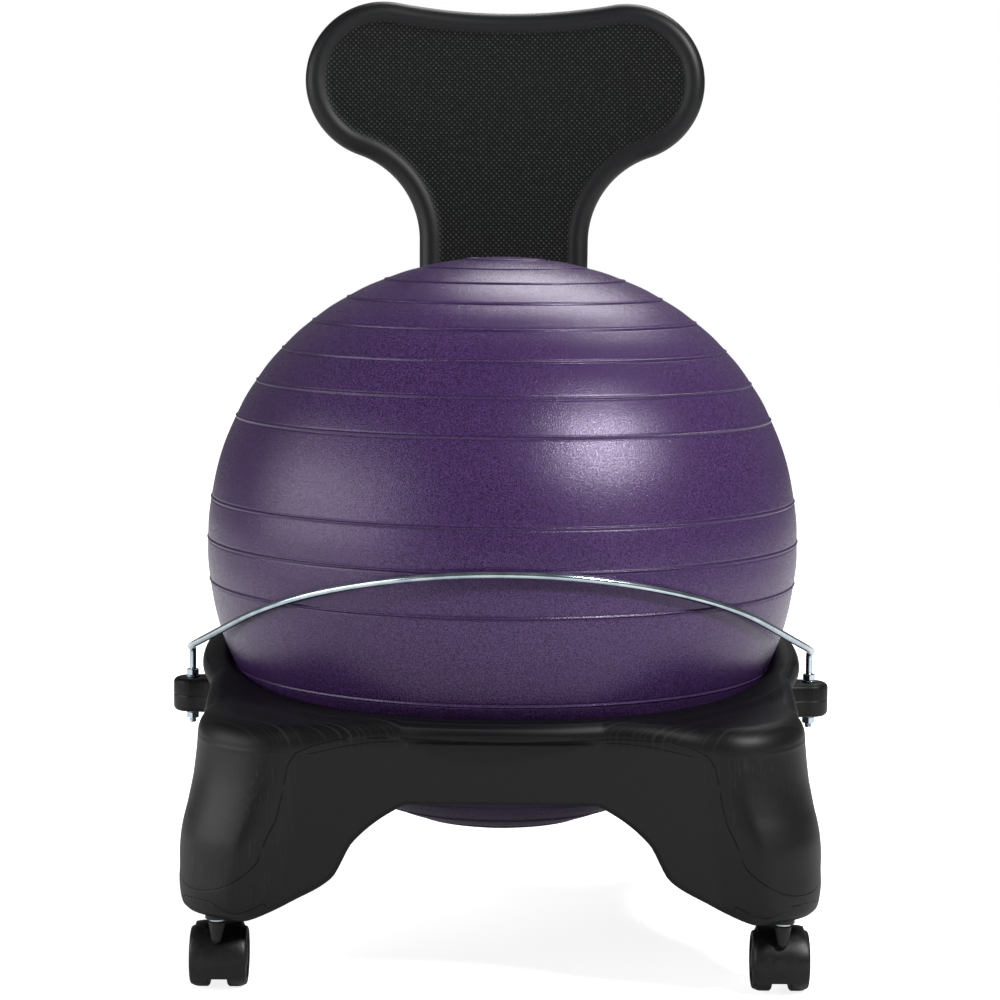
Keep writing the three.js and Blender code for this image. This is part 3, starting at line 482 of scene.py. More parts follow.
def make_ball():
    """Outside: at angle t up from the widest place, radius (R + f) cos t and height (H + f) sin t, both
    times the swell. At distance d along the skin from a rib line, f is a round-topped rib,
    0.8 mm exp(-(d / 0.75 mm)^2), less a groove at its foot, 0.3 mm exp(-((d - 1.6 mm) / 0.6 mm)^2), and
    less the slackness between ribs, half the way to a flat band. Inside: the same ellipse 2 mm smaller.
    A hole for the valve, 5 mm in radius, joins them below"""
    wall, rib_lift, rib_spread, least_step = 2.0, 0.8, 0.75, 0.2
    groove_depth, groove_place, groove_spread = 0.3, 1.6, 0.6
    slack_share, widest_slack = 0.5, math.radians(9)
    low, high = -math.acos(valve_hole / ball_radius), math.pi / 2
    beside = np.array([0.35, 0.7, 1.1, 1.6, 2.1, 2.8, 3.6]) / ball_radius
    beside = np.concatenate([-beside, [0], beside])
    t = np.unique(np.append(np.linspace(low, high, 140), (rib_angles + beside[:, None]).ravel()))
    t = t[np.append(True, np.diff(t) > least_step / ball_radius)]
    distance = np.abs(t[:, None] - rib_angles[None]).min(1) * ball_radius
    rib = rib_lift * np.exp(-(distance / rib_spread) ** 2)
    rib -= groove_depth * np.exp(-((distance - groove_place) / groove_spread) ** 2)
    stops = np.concatenate([[low], rib_angles, [high]])
    last_band = len(stops) - 2
    band = np.clip(np.searchsorted(stops, t, side="right") - 1, 0, last_band)
    width = stops[band + 1] - stops[band]
    across = (t - stops[band]) / width
    sag = 1 - np.cos(np.minimum(width, widest_slack) / 2)
    slack = slack_share * ball_radius * sag * np.cos(np.pi * across) ** 2
    lift = rib - np.where((band == 0) | (band == last_band), 0, slack)
    outside = np.stack([(ball_radius + lift) * np.cos(t), (ball_half_height + lift) * np.sin(t)], -1)
    outside *= swell(t)[:, None]
    outside[-1] = (0, ball_half_height)
    inner_radius, inner_height = ball_radius - wall, ball_half_height - wall
    s = np.linspace(high, -math.acos(valve_hole / inner_radius), 30)
    within = np.stack([inner_radius * np.cos(s), inner_height * np.sin(s)], -1) * swell(s)[:, None]
    within[0] = (0, inner_height)
    profile = np.concatenate([outside, within, outside[:1]])
    mark = np.concatenate([distance, np.full(len(within), no_mark), distance[:1]])
    sides = 216
    shell = turned(profile, sides, centre=(0, ball_y, ball_z))
    piece("inflated_ball", [shell], vinyl, "ball", "ball", crease=60, marks={"rib": np.repeat(mark, sides)})


make_ball()


def make_plug():
    """A round flat head with a dimple, and a hollow stub with a tapered end, turned about the ball's
    axis"""
    low, high, _ = box_mm("valve_plug")
    bottom, top = low[2], high[2]
    head, stub, bore = 7.7, 4.7, 3.3
    under, taper, bore_floor = bottom + 1.8, bottom + 9, bottom + 3.4
    profile = [(0, bottom + 0.5), (3.2, bottom + 0.5), (3.8, bottom), (head, bottom), (head, under),
               (stub, under), (stub, taper), (4.4, top), (bore, top), (bore, bore_floor), (0, bore_floor)]
    shell = turned(eased(profile, 0.35, 3), 48, centre=(0, ball_y, 0))
    piece("plug_in_valve", [shell], white_plug, "valve", "valve_plug")


make_plug()


# ---------------------------------------------------------------- ring and legs

leg_height, seat_rise, seat_gap = 158.7, 44.0, 0.45
collar_width, collar_band, crease_step = 24.0, 3.0, 4.0
panel_out, leg_proud, leg_flare, edge_radius = 9.5, 1.0, 15.2, 5.0
arch_rise, arch_half_span = 95.4, 210
seat_front = foot_z + leg_height
seat_middle = seat_front + seat_rise / 2
seat_radius = ball_radius_at(seat_middle) + rib_height + seat_gap
panel_face = seat_radius + panel_out
leg_face = panel_face + leg_proud

# Shares of the arch's rise against the share of its half span, and of the leg's flare against the share
# of its height
arch_curve = curve_through([(0, 1), (0.357, 1), (0.414, 0.945), (0.567, 0.681), (0.648, 0.374),
                            (0.79, 0.187), (0.943, 0.027), (1, 0)])
flare_curve = curve_through([(0, 0.1), (0.025, 0.45), (0.06, 0.74), (0.12, 0.9), (0.2, 0.98), (0.3, 1),
                             (0.39, 0.95), (0.48, 0.78), (0.58, 0.52), (0.72, 0.24), (0.87, 0.08), (1, 0)])

# The backrest stands between the base's pad and the clamp plate, with a gap at each
back_thick, back_gap = 22.0, 0.3
back_front = box_mm("clamp_plate")[0][1] - back_gap - back_thick
ear_drop, ear_thick, ear_radius, ear_flare = 25, 29, 16.5, 9
ear_top = seat_middle - ear_drop
ear_low = ear_top - ear_thick
bar_side = box_mm("bar_nut_upper_right")[2][0]


def seat_height(y):
    """The seat edge's height: it rises from front to rear along a smooth step"""
    return seat_front + seat_rise * smooth((y + seat_radius) / (2 * seat_radius))


def seat_edge(cos, sin):
    """Distance from the ring's centre to the seat's edge: where the ball's radius at the edge's own
    height, with a rib and a gap, meets that direction. Settled by repeating it"""
    radius = np.full_like(cos, seat_radius)
    for _ in range(6):
        level = ball_radius_at(seat_height(radius * sin)) + rib_height + seat_gap
        radius = -ball_forward * sin + np.sqrt(level ** 2 - (ball_forward * cos) ** 2)
    return radius


def arch_height(x, y):
    """Height of the underside: the arch's rise times the arch curve of the distance across the arch"""
    across = np.minimum(np.abs(x), np.abs(y))
    return foot_z + arch_rise * arch_curve(across / arch_half_span)


def square_reach(c, s, half, corner):
    """How far a square with round corners reaches from its centre in the direction (c, s)"""
    far, near = np.maximum(c, s), np.minimum(c, s)
    centre = half - corner
    along = centre * (c + s)
    round_part = along + np.sqrt(np.maximum(along ** 2 - 2 * centre ** 2 + corner ** 2, 0))
    return np.where(half * near / far <= centre, half / far, round_part)


def wall_reach(cos, sin, z):
    """Outside of the panels and legs: a round-cornered square that grows by the leg's flare where
    the direction points past the leg's edge, which runs from 192 mm out at the foot to 165 at the top,
    and blends over 30 mm. The corner's radius grows from 55 to 70 mm over the lowest third"""
    edge_at_foot, edge_shift, edge_blend, foot_corner, corner_growth = 192, 27, 30, 55, 15
    c, s = np.abs(cos), np.abs(sin)
    up = np.clip((z - foot_z) / leg_height, 0, 1)
    face = leg_face + leg_flare * flare_curve(up)
    across = panel_face * np.minimum(c, s) / np.maximum(c, s)
    on_leg = smooth((across - (edge_at_foot - edge_shift * up)) / edge_blend + 0.5)
    half = panel_face + (face - panel_face) * on_leg
    return square_reach(c, s, half, foot_corner + corner_growth * smooth(up * 3))


def arc_rows(centre_r, centre_z, radius, start, end, steps):
    """Radii and heights of an arc's points for every section at once, as in arc"""
    a = np.radians(np.linspace(start, end, steps + 1))[None]
    return centre_r[:, None] + radius[:, None] * np.cos(a), centre_z[:, None] + radius[:, None] * np.sin(a)


def base_sections(angles):
    """Radius and height of every section point, rows by angle. Going round: the inside wall up, a
    quarter circle over the lip that is tangent to the ball, the shoulder's arc, the band, the crease
    step, the outside wall down, a round lower edge, and the underside back to the inside wall"""
    lip, step_round, step_steps = 0.4 * collar_width, 2.2, 5
    side_run, side_gap = 6, 3    # how far off the step's corners are aimed, and the side wall starts
    collar_shoulder, leg_shoulder, shoulder_drop, shoulder_blend = 12, 20, 7, 46
    inside_round = 3    # how far the wall and the underside stop short of their common corner
    cos, sin = np.cos(angles), np.sin(angles)
    edge_at = seat_edge(cos, sin)
    seat = seat_height(edge_at * sin)
    lean = np.arctan((ball_radius / ball_half_height) ** 2 * (ball_z - seat) / ball_radius_at(seat))
    lip_r, lip_z = edge_at + lip * np.cos(lean), seat - lip * np.sin(lean)
    wall, collar, top = lip_r - lip, edge_at + collar_width, lip_z + lip
    on_leg = smooth((np.maximum(collar, wall_reach(cos, sin, seat)) - collar) / shoulder_blend)
    shoulder = collar_shoulder * (1 - on_leg) + leg_shoulder * on_leg
    shoulder_end = top - shoulder_drop * on_leg - shoulder
    shoulder_r = np.maximum(collar, wall_reach(cos, sin, shoulder_end))
    band_end = shoulder_end - collar_band
    band = np.maximum(collar, wall_reach(cos, sin, band_end)), band_end
    wall_top = wall_reach(cos, sin, band_end - crease_step), band_end - crease_step
    below = wall_reach(cos, sin, wall_top[1] - side_run), wall_top[1] - side_run
    foot = wall_reach(cos, sin, np.full_like(cos, foot_z))
    bottom = arch_height(foot * cos, foot * sin)
    bottom_r = wall_reach(cos, sin, bottom)
    lower = bottom + edge_radius

    def between(start, end, steps):
        """Even steps from one number to another for every section"""
        share = np.linspace(0, 1, steps)[None]
        return start[:, None] * (1 - share) + end[:, None] * share

    inside_z = between(arch_height(wall * cos, wall * sin) + inside_round, lip_z, 9)
    outside_z = between(wall_top[1] - side_gap, lower, 44)[:, 1:]
    edge_r, edge_z = arc_rows(bottom_r - edge_radius, lower, np.full_like(cos, edge_radius), 0, -90, 6)
    under_r = between(bottom_r - edge_radius, wall + inside_round, 16)[:, 1:]
    rows = [(np.broadcast_to(wall[:, None], inside_z.shape), inside_z),
            arc_rows(lip_r, lip_z, np.full_like(cos, lip), 180, 90, 10),
            arc_rows(shoulder_r - shoulder, shoulder_end, shoulder, 90, 0, 14),
            corner_rows((band[0], band_end + side_run), band, wall_top, step_round, step_steps),
            corner_rows(band, wall_top, below, step_round, step_steps),
            (wall_reach(cos[:, None], sin[:, None], outside_z), outside_z),
            (edge_r[:, 1:], edge_z[:, 1:]),
            (under_r, arch_height(under_r * cos[:, None], under_r * sin[:, None]))]
    return [np.concatenate(part, 1) for part in zip(*rows)]


def corner_rows(start, corner, end, reach, steps):
    """A rounded corner for every section at once, by the same parabola as in eased"""
    p = np.stack(corner, -1)
    a, b = np.stack(start, -1) - p, np.stack(end, -1) - p
    a *= reach / np.maximum(np.linalg.norm(a, axis=1), 1e-6)[:, None]
    b *= reach / np.maximum(np.linalg.norm(b, axis=1), 1e-6)[:, None]
    t = np.linspace(0, 1, steps)[None, :, None]
    bent = (1 - t) ** 2 * (p + a)[:, None] + 2 * t * (1 - t) * p[:, None] + t ** 2 * (p + b)[:, None]
    return bent[..., 0], bent[..., 1]


def signed_distance(u, z, line):
    """Distance from each point (u, z) to a line of points, below 0 on its right side, and above 0
    everywhere past its two ends"""
    line = np.array(line, float)
    best, side = np.full(u.shape, 1e9), np.ones(u.shape)
    last = len(line) - 2
    for i, ((x0, z0), (x1, z1)) in enumerate(zip(line[:-1], line[1:])):
        dx, dz = x1 - x0, z1 - z0
        t = ((u - x0) * dx + (z - z0) * dz) / (dx * dx + dz * dz)
        past = ((t < 0) & (i == 0)) | ((t > 1) & (i == last))
        t = np.clip(t, 0, 1)
        d = np.hypot(u - x0 - t * dx, z - z0 - t * dz)
        nearer = d < best
        best = np.where(nearer, d, best)
        sign = np.where(past, 1.0, np.sign(dx * (z - z0) - dz * (u - x0)))
        side = np.where(nearer, sign, side)
    return best * side


# Where the mould's parting creases run, as (across, height) on each of the four sides
panel_crease = [(-20, 209), (60, 210), (94, 211), (130, 209), (149, 204), (162, 198), (168, 189), (171, 174),
                (174, 158), (178, 143), (184, 132), (188, 122), (191, 113), (196, 107), (204, 101), (213, 95),
                (223, 90.5), (232, 88), (240, 87.5), (256, 87.5)]
foot_crease = [(184, 80), (191, 76), (200, 72.5), (209, 71), (217, 73.5), (221.5, 76.5), (228, 79.8),
               (240, 80.5), (256, 80.5)]


def base_marks(points):
    """Signed distances in millimetres to the two parting creases, by their attributes' names"""
    x, y, z = points.T
    y = y - ring_y
    across, out = np.minimum(np.abs(x), np.abs(y)), np.maximum(np.abs(x), np.abs(y))
    skin, shoulder_foot, foot_top = 3, 216, 96
    outside = (out > panel_face - skin) & (z < shoulder_foot)
    panel = np.where(outside, signed_distance(across, z, panel_crease), no_mark)
    foot = np.where(outside & (z < foot_top), signed_distance(across, z, foot_crease), no_mark)
    return {"panel_crease": panel, "foot_crease": foot}


def ear_shells():
    """An ear at each side, with a half round tip about the bar: its half width is 16.5 mm plus a flare
    of 9 (1 - s)^2 towards its root, and a parting line 0.4 mm deep runs round its middle"""
    sunk, rounding = 6, 4.5
    root = panel_face - sunk
    s = np.linspace(0, 1, 16)[:-1]
    x, w = root + (bar_side - root) * s, ear_radius + ear_flare * (1 - s) ** 2
    tip = arc((bar_side, 0), ear_radius, -90, 90, 24)
    outline = np.concatenate([np.stack([x, -w], -1), tip, np.stack([x, w], -1)[::-1]])
    middle = (ear_top + ear_low) / 2
    side = edge(ear_low, ear_top, rounding, 6)
    half = len(side) // 2
    parting = [[0, middle - 1.2], [0, middle - 0.5], [0.4, middle - 0.12], [0.4, middle + 0.12],
               [0, middle + 0.5], [0, middle + 1.2]]
    side = np.concatenate([side[:half], parting, side[half:]])
    return [slab(lug, side, along_z((0, ring_y, 0))) for lug in (outline, (outline * [-1, 1])[::-1])]


def make_base():
    """The ring swept round its centre, the ears, and a pad behind that the backrest is bolted to"""
    pad_half_width, pad_half_height, pad_corner, pad_edge, pad_sunk = 58, 34, 8, 2.0, 5
    angles = np.linspace(0, 2 * np.pi, 600, endpoint=False)
    r, z = base_sections(angles)
    ring = np.stack([r * np.cos(angles)[:, None], r * np.sin(angles)[:, None] + ring_y, z], -1)
    middle = box_mm("clamp_plate")[2][2]
    pad = block_outline(pad_half_width, middle - pad_half_height, middle + pad_half_height, pad_corner)
    pad_side = edge(panel_face - pad_sunk + ring_y, back_front - back_gap, pad_edge)
    shells = [grid(ring, wrap_rows=True, wrap_columns=True), *ear_shells(), slab(pad, pad_side, along_y())]
    marks = base_marks(np.concatenate([points for points, _ in shells]))
    for values in marks.values():
        values[ring[..., 0].size:] = no_mark
    piece("moulded_ring_and_legs", shells, polythene, "base", "base_frame", crease=50, marks=marks)


make_base()


# ---------------------------------------------------------------- bar round the front of the ball

rod_radius, upright_height, hoop_rise, hoop_fullness, hoop_gap, hug_end = 3.0, 28, 98.8, 1.3, 1.3, 54
corner_height = ear_top + upright_height


def hoop_points(angle):
    """The hoop at angle a from straight ahead: its height is its corners' + 98.8 cos(a)^1.3, and its
    reach from the ball's axis hugs the ball by 1.3 mm, easing out to the uprights from 54 to 90 degrees"""
    z = corner_height + hoop_rise * np.maximum(np.cos(angle), 0) ** hoop_fullness
    hug = ball_radius_at(z) + rib_height + hoop_gap + rod_radius
    leave = smooth((np.abs(angle) - math.radians(hug_end)) / math.radians(90 - hug_end))
    reach = hug + (math.hypot(bar_side, ball_forward) - hug) * leave
    return np.stack([reach * np.sin(angle), ball_y - reach * np.cos(angle), z], -1)


def make_bar():
    """A 6 mm rod: a threaded upright through each ear, a tight bend like a parabola, and the hoop. The
    thread is cut 0.35 mm deep at a pitch of 1 mm: radius less 0.35 times a triangle wave of height
    plus turn, so that it winds"""
    bend, sides, step = 8.0, 24, 0.17
    thread_depth, thread_pitch, thread_end, tip_radius = 0.35, 1.0, 1.5, 2.2
    low = box_mm("retaining_bar")[0][2]
    thread_top = box_mm("bar_nut_upper_left")[1][2] + 2
    end_angle = math.pi / 2 + math.atan(ball_forward / bar_side)
    hoop = hoop_points(np.linspace(-1, 1, 420) * (end_angle - bend / bar_side))
    up = np.concatenate([np.arange(low, thread_top, step), np.linspace(thread_top, corner_height - bend, 12)])
    left = np.stack([np.full_like(up, -bar_side), np.full_like(up, ring_y), up], -1)
    t = np.linspace(0, 1, 16)[1:-1, None]
    knee = np.array([-bar_side, ring_y, corner_height])
    join = (1 - t) ** 2 * left[-1] + 2 * t * (1 - t) * knee + t ** 2 * hoop[0]
    mirror = np.array([-1, 1, 1])
    path = np.concatenate([left, join, hoop, (join * mirror)[::-1], (left * mirror)[::-1]])
    out = path - [0, ball_y, 0]
    out[:, 2] = 0
    out /= np.linalg.norm(out, axis=1)[:, None]
    turn = np.linspace(0, 1, sides, endpoint=False)[None]
    height = path[:, 2:3]
    wave = 2 * np.abs((height / thread_pitch - turn) % 1 - 0.5)
    radius = rod_radius - thread_depth * wave * smooth((thread_top - height) / thread_end)
    rows_from_tip = np.minimum(np.arange(len(path)), np.arange(len(path))[::-1])[:, None]
    radius = np.minimum(radius, tip_radius + rows_from_tip * step)
    verts, faces = tube(path, radius, sides, out)
    caps = [list(range(sides)), list(range(len(verts) - sides, len(verts)))]
    piece("bent_bar", [(verts, faces + caps)], zinc, "base", "retaining_bar", crease=60)


def hexagon_head(flats, bottom, top, place, bore=0.0, chamfer_low=True):
    """A hexagon whose corners are cut by a cone at each face: radius at an angle is the smaller of
    apothem / cos(angle from the flat's middle) and the cone's radius at that height"""
    face_share, cut_share, overrun = 0.97, 0.6, 0.05
    a = np.linspace(0, 2 * np.pi, 96, endpoint=False)
    apothem = flats / 2
    across_corner = apothem / math.cos(math.pi / 6)
    flat_radius = apothem / np.cos((a + np.pi / 6) % (np.pi / 3) - np.pi / 6)
    depth = np.array([0, 0.15, 0.3, 0.5, 0.75, 1.0])
    start = apothem * face_share
    cone = start + depth * (across_corner - start + overrun)
    cut = (across_corner - apothem) * cut_share
    low_rows = [(c if chamfer_low else math.inf, bottom + d * cut) for c, d in zip(cone, depth)]
    high_rows = [(c, top - d * cut) for c, d in zip(cone, depth)][::-1]
    limit, height = np.array([(bore, bottom), *low_rows, *high_rows, (bore, top)]).T[..., None]
    r = np.minimum(flat_radius, limit)
    points = np.stack(place(r * np.cos(a), r * np.sin(a), np.broadcast_to(height, r.shape)), -1)
    return grid(points, wrap_rows=bore > 0, wrap_columns=True)


def closed_turned(profile, sides, axis="z", centre=(0, 0, 0)):
    """As turned, for a profile that is itself a loop"""
    profile = np.array(profile, float)
    return turned(np.concatenate([profile, profile[:1]]), sides, axis, centre)


def washer_shell(bore, outer, low, high, rounding, axis, centre):
    """A washer turned round its axis, with rounded edges, most of all its outer edge on the high side"""
    profile = eased([(bore, low), (outer, low), (outer, high), (bore, high)], (0.15, 0.3, rounding, 0.15),
                    4, closed=True)
    return closed_turned(profile, 56, axis, centre)


def make_bar_fixings():
    """Nuts and washers above and below each ear, on the bar's uprights"""
    nut_flats, nut_bore, washer_bore, washer_radius, rounding = 10, 3.05, 3.3, 6, 0.5
    for side in ("left", "right"):
        for level in ("upper", "lower"):
            name = f"bar_nut_{level}_{side}"
            low, high, (x, y, _) = box_mm(name)
            shell = hexagon_head(nut_flats, low[2], high[2], along_z((x, y, 0)), bore=nut_bore)
            piece(f"hex_{name}", [shell], zinc, "base", name)
            name = f"bar_washer_{level}_{side}"
            low, high, (x, y, _) = box_mm(name)
            shell = washer_shell(washer_bore, washer_radius, low[2], high[2], rounding, "z", (x, y, 0))
            piece(f"pressed_{name}", [shell], zinc, "base", name)


make_bar()
make_bar_fixings()


# ---------------------------------------------------------------- backrest

lobe_radius, lobe_x, neck_half, neck_arc, top_dip = 73.5, 113.5, 79.5, 84.0, 10.0
stem_half, stem_corner, rim_width = 64.0, 18.0, 20.0
flat_steps, corner_steps, stem_steps, neck_steps, lobe_steps, top_steps = 7, 8, 29, 40, 64, 20
back_bottom = box_mm("backrest")[0][2]
lobe_z = box_mm("backrest")[1][2] - lobe_radius
neck_x = neck_half + neck_arc
neck_z = lobe_z - math.sqrt((neck_arc + lobe_radius) ** 2 - (neck_x - lobe_x) ** 2)
top_arc = (lobe_x ** 2 - top_dip ** 2) / (2 * top_dip) - lobe_radius + top_dip
top_z = lobe_z + lobe_radius - top_dip + top_arc


def back_outline(inset):
    """Right half of the outline moved in by an inset: bottom edge, corner, stem side, neck arc, lobe
    arc and top arc, all meeting in common tangents. Returns the six parts"""
    corner = max(stem_corner - inset, 0.4)
    half = stem_half - inset
    bottom = back_bottom + inset * stem_corner / rim_width
    neck_join = math.degrees(math.atan2(lobe_z - neck_z, lobe_x - neck_x))
    top_join = math.degrees(math.atan2(lobe_z - top_z, lobe_x))
    share = np.linspace(0, 1, stem_steps + 1)
    stem = np.stack([half + (neck_half - inset - half) * smooth(share),
                     bottom + corner + (neck_z - bottom - corner) * share], -1)
    flat = np.stack([np.linspace(0, half - corner, flat_steps + 1), np.full(flat_steps + 1, bottom)], -1)
    return [flat[:-1], arc((half - corner, bottom + corner), corner, -90, 0, corner_steps)[:-1], stem[:-1],
            arc((neck_x, neck_z), neck_arc + inset, 180, neck_join, neck_steps)[:-1],
            arc((lobe_x, lobe_z), lobe_radius - inset, neck_join - 180, top_join + 180, lobe_steps)[:-1],
            arc((0, top_z), top_arc + inset, top_join, -90, top_steps)]


def back_spine():
    """For each outline point, the place on a T-shaped line inside that it is filled towards: up the
    stem's middle, then out along the arms to the lobes' centres, and back for the top edge"""
    low, bend, join = (0, back_bottom + 60), (0, neck_z - 60), (0, lobe_z - 2)
    tip = (lobe_x, lobe_z - 2)
    legs = [(low, low, flat_steps + corner_steps), (low, bend, stem_steps), (bend, join, neck_steps // 2),
            (join, tip, neck_steps // 2), (tip, tip, lobe_steps), (tip, join, top_steps)]
    return np.concatenate([np.linspace(start, end, steps, endpoint=False) for start, end, steps in legs]
                          + [[join]])


def back_surface(x, z, depth):
    """Depth behind the flat front, less a wrap forwards that grows to 14 mm at the lobes' ends with the
    square of the distance across, and plus a lean back of 8 mm over the upper half"""
    end_wrap, lean = 14, 8
    up = (z - back_bottom) / (lobe_z + lobe_radius - back_bottom)
    high = smooth((z - neck_z) / (lobe_z - neck_z))
    wrap = end_wrap * (x / (lobe_x + lobe_radius)) ** 2 * high
    return back_front + depth - wrap + lean * smooth((up - 0.5) / 0.5)


def make_backrest():
    """Rings from the spine of the front face out to the rim, over it and back to the spine behind.
    The rim's section is an ellipse quarter 11 by 11 mm outside, a cosine fall of 3 mm to the face
    inside, and an ellipse quarter 10 by 11 mm behind, with a parting line round its middle"""
    rim, rim_behind, fall, face_inset, face_blend, behind = 11, 10, 3, 24, 3, 20.5
    mirror = np.array([-1.0, 1.0])

    def both_sides(right):
        """A right half with its mirror image, as one loop"""
        return np.concatenate([right, (right * mirror)[1:-1][::-1]])

    def loop(inset):
        """The whole outline moved in by an inset"""
        return both_sides(np.concatenate(back_outline(inset)))

    spine = both_sides(back_spine())
    rings = [(loop(26) * (1 - share) + spine * share, fall, 1.0) for share in np.linspace(1, 0, 16)]
    for share in np.linspace(0, 1, 14):
        inset = face_inset - (face_inset - rim) * share
        on_face = np.clip((inset - 17) / face_blend, 0, 1)
        rings.append((loop(inset), fall * (0.5 + 0.5 * math.cos(math.pi * share)), on_face))
    for angle in np.radians(np.linspace(90, 4, 15))[1:]:
        rings.append((loop(rim - rim * math.cos(angle)), rim - rim * math.sin(angle), 0.0))
    rings += [(loop(inset), depth, 0.0) for inset, depth in ((0, 10.4), (0.5, 10.9), (0.5, 11.2), (0, 11.7))]
    for angle in np.radians(np.linspace(4, 90, 12)):
        rings.append((loop(rim_behind - rim_behind * math.cos(angle)), rim + rim * math.sin(angle), 0.0))
    rings += [(loop(inset), depth, 0.0)
              for inset, depth in ((22, 22.0), (23, 21.9), (24.2, 21.2), (25.4, 20.6), (26.5, behind))]
    rings += [(loop(27) * (1 - share) + spine * share, behind, 0.0) for share in np.linspace(0, 1, 16)]
    points = np.array([np.stack([flat[:, 0], back_surface(*flat.T, depth), flat[:, 1]], -1)
                       for flat, depth, _ in rings])
    face = np.repeat([mark for _, _, mark in rings], len(spine))
    piece("moulded_backrest", [grid(points, wrap_columns=True)], back_finish, "base", "backrest", crease=50,
          marks={"face": face})


make_backrest()


def make_back_fixing():
    """A pressed steel plate with round corners, and four hexagon bolts with washers"""
    head_flats, head_height, shank, shank_tip, sunk = 13, 5.3, 4, 3.4, 0.3
    plate_corner, plate_edge, washer_bore, washer_radius, rounding = 8, 0.9, 4.3, 8, 0.6
    low, high, _ = box_mm("clamp_plate")
    outline = block_outline((high[0] - low[0]) / 2, low[2], high[2], plate_corner, 8)
    plate = slab(outline, edge(low[1], high[1], plate_edge, 4), along_y())
    piece("pressed_clamp_plate", [plate], zinc, "base", "clamp_plate")
    for k in range(1, 5):
        name = f"back_bolt_washer_{k}"
        low, high, (x, _, z) = box_mm(name)
        shell = washer_shell(washer_bore, washer_radius, low[1], high[1], rounding, "y", (x, 0, z))
        piece(f"pressed_back_washer_{k}", [shell], zinc, "base", name)
        name = f"back_bolt_{k}"
        low, high, _ = box_mm(name)
        under_head = high[1] - head_height
        head = hexagon_head(head_flats, under_head, high[1], along_y((x, 0, z)), chamfer_low=False)
        root = under_head + sunk
        profile = [(0, low[1]), (shank_tip, low[1]), (shank, low[1] + 0.6), (shank, root), (0, root)]
        piece(f"hex_{name}", [head, turned(profile, 32, "y", (x, 0, z))], zinc, "base", name)


make_back_fixing()


# ---------------------------------------------------------------- casters

wheel_radius, hood_radius, hood_wall = 25.0, 28.2, 2.2


def hood_shells(y, x):
    """The hood over both wheels: at angle a round the axle its outside lies at 28.2 mm less a crown
    of 1.3 (x / w)^4, from x = -w to w, where w narrows from 20.6 mm in front to 18.6 on top. Between
    the wheels a 13 mm web fills it, which stops a little higher in front"""
    front, rear, web_front, web_half, web_radius, web_hub = 209, 42, 199, 6.5, 27.4, 6
    half_front, narrowing, crown = 20.6, 2.0, 1.3
    a = np.radians(np.linspace(front, rear, 72))
    half = half_front - narrowing * smooth((np.sin(a) - 0.3) / 0.65)
    s = np.linspace(-1, 1, 30)
    s_loop = np.concatenate([s, s[::-1]])[::-1]
    outside, inside = hood_radius - crown * np.abs(s) ** 4, np.full_like(s, hood_radius - hood_wall)
    r_loop = np.concatenate([outside, inside])[::-1]
    points = np.stack([x + half[:, None] * s_loop[None], y + r_loop[None] * np.cos(a)[:, None],
                       wheel_radius + r_loop[None] * np.sin(a)[:, None]], -1)
    n = len(s_loop)
    verts, faces = grid(points, wrap_columns=True)
    caps = []
    for start in (0, (len(a) - 1) * n):
        caps += [[start + k, start + k + 1, start + n - 2 - k, start + n - 1 - k] for k in range(n // 2 - 1)]
    sector = np.concatenate([arc((0, 0), web_radius, rear, web_front, 48),
                             arc((0, 0), web_hub, web_front, 360 + rear, 16)])
    web = slab(sector, edge(-web_half, web_half, 1.0, 3), along_x((x, y, wheel_radius)))
    return [(verts, faces + caps), web]


def neck_shell(x, y, top):
    """A stub down the hood's front: at share t of 18 mm down from the top its radius is 6.8 - 3.4 t^1.2
    mm and its centre is 2.8 t mm forwards, closed by a round tip"""
    length, top_radius, taper, forward, rim = 18, 6.8, 3.4, 2.8, 0.6
    t = np.linspace(0, 1, 26)
    radius = top_radius - taper * t ** 1.2
    radius[-6:] *= np.sqrt(np.linspace(1, 0, 6))
    radius = np.concatenate([[0, 6.0], radius])
    z = top - np.concatenate([[0, 0], rim + length * t])
    ahead = np.concatenate([[0, 0], forward * t])
    verts, faces = turned(np.stack([radius, z], -1), 40, centre=(x, y, 0))
    return verts - np.repeat(ahead, 40)[:, None] * [0, 1, 0], faces


def lug_shells(x, y, z, axle_y):
    """The arm behind the hood that carries the brake lever's pin, round about it"""
    tip_radius, root, half = 4.4, 16, 6.4
    axle = np.array([axle_y, wheel_radius])
    pivot = np.array([y, z])
    along = (pivot - axle) / np.linalg.norm(pivot - axle)
    side = np.array([-along[1], along[0]]) * tip_radius
    angle = math.degrees(math.atan2(along[1], along[0]))
    tip = arc(pivot, tip_radius, angle - 90, angle + 90, 12)
    outline = np.concatenate([[axle + along * root - side], tip, [axle + along * root + side]])
    return [slab(outline, edge(-half, half, 0.8, 3), along_x((x, 0, 0)))]


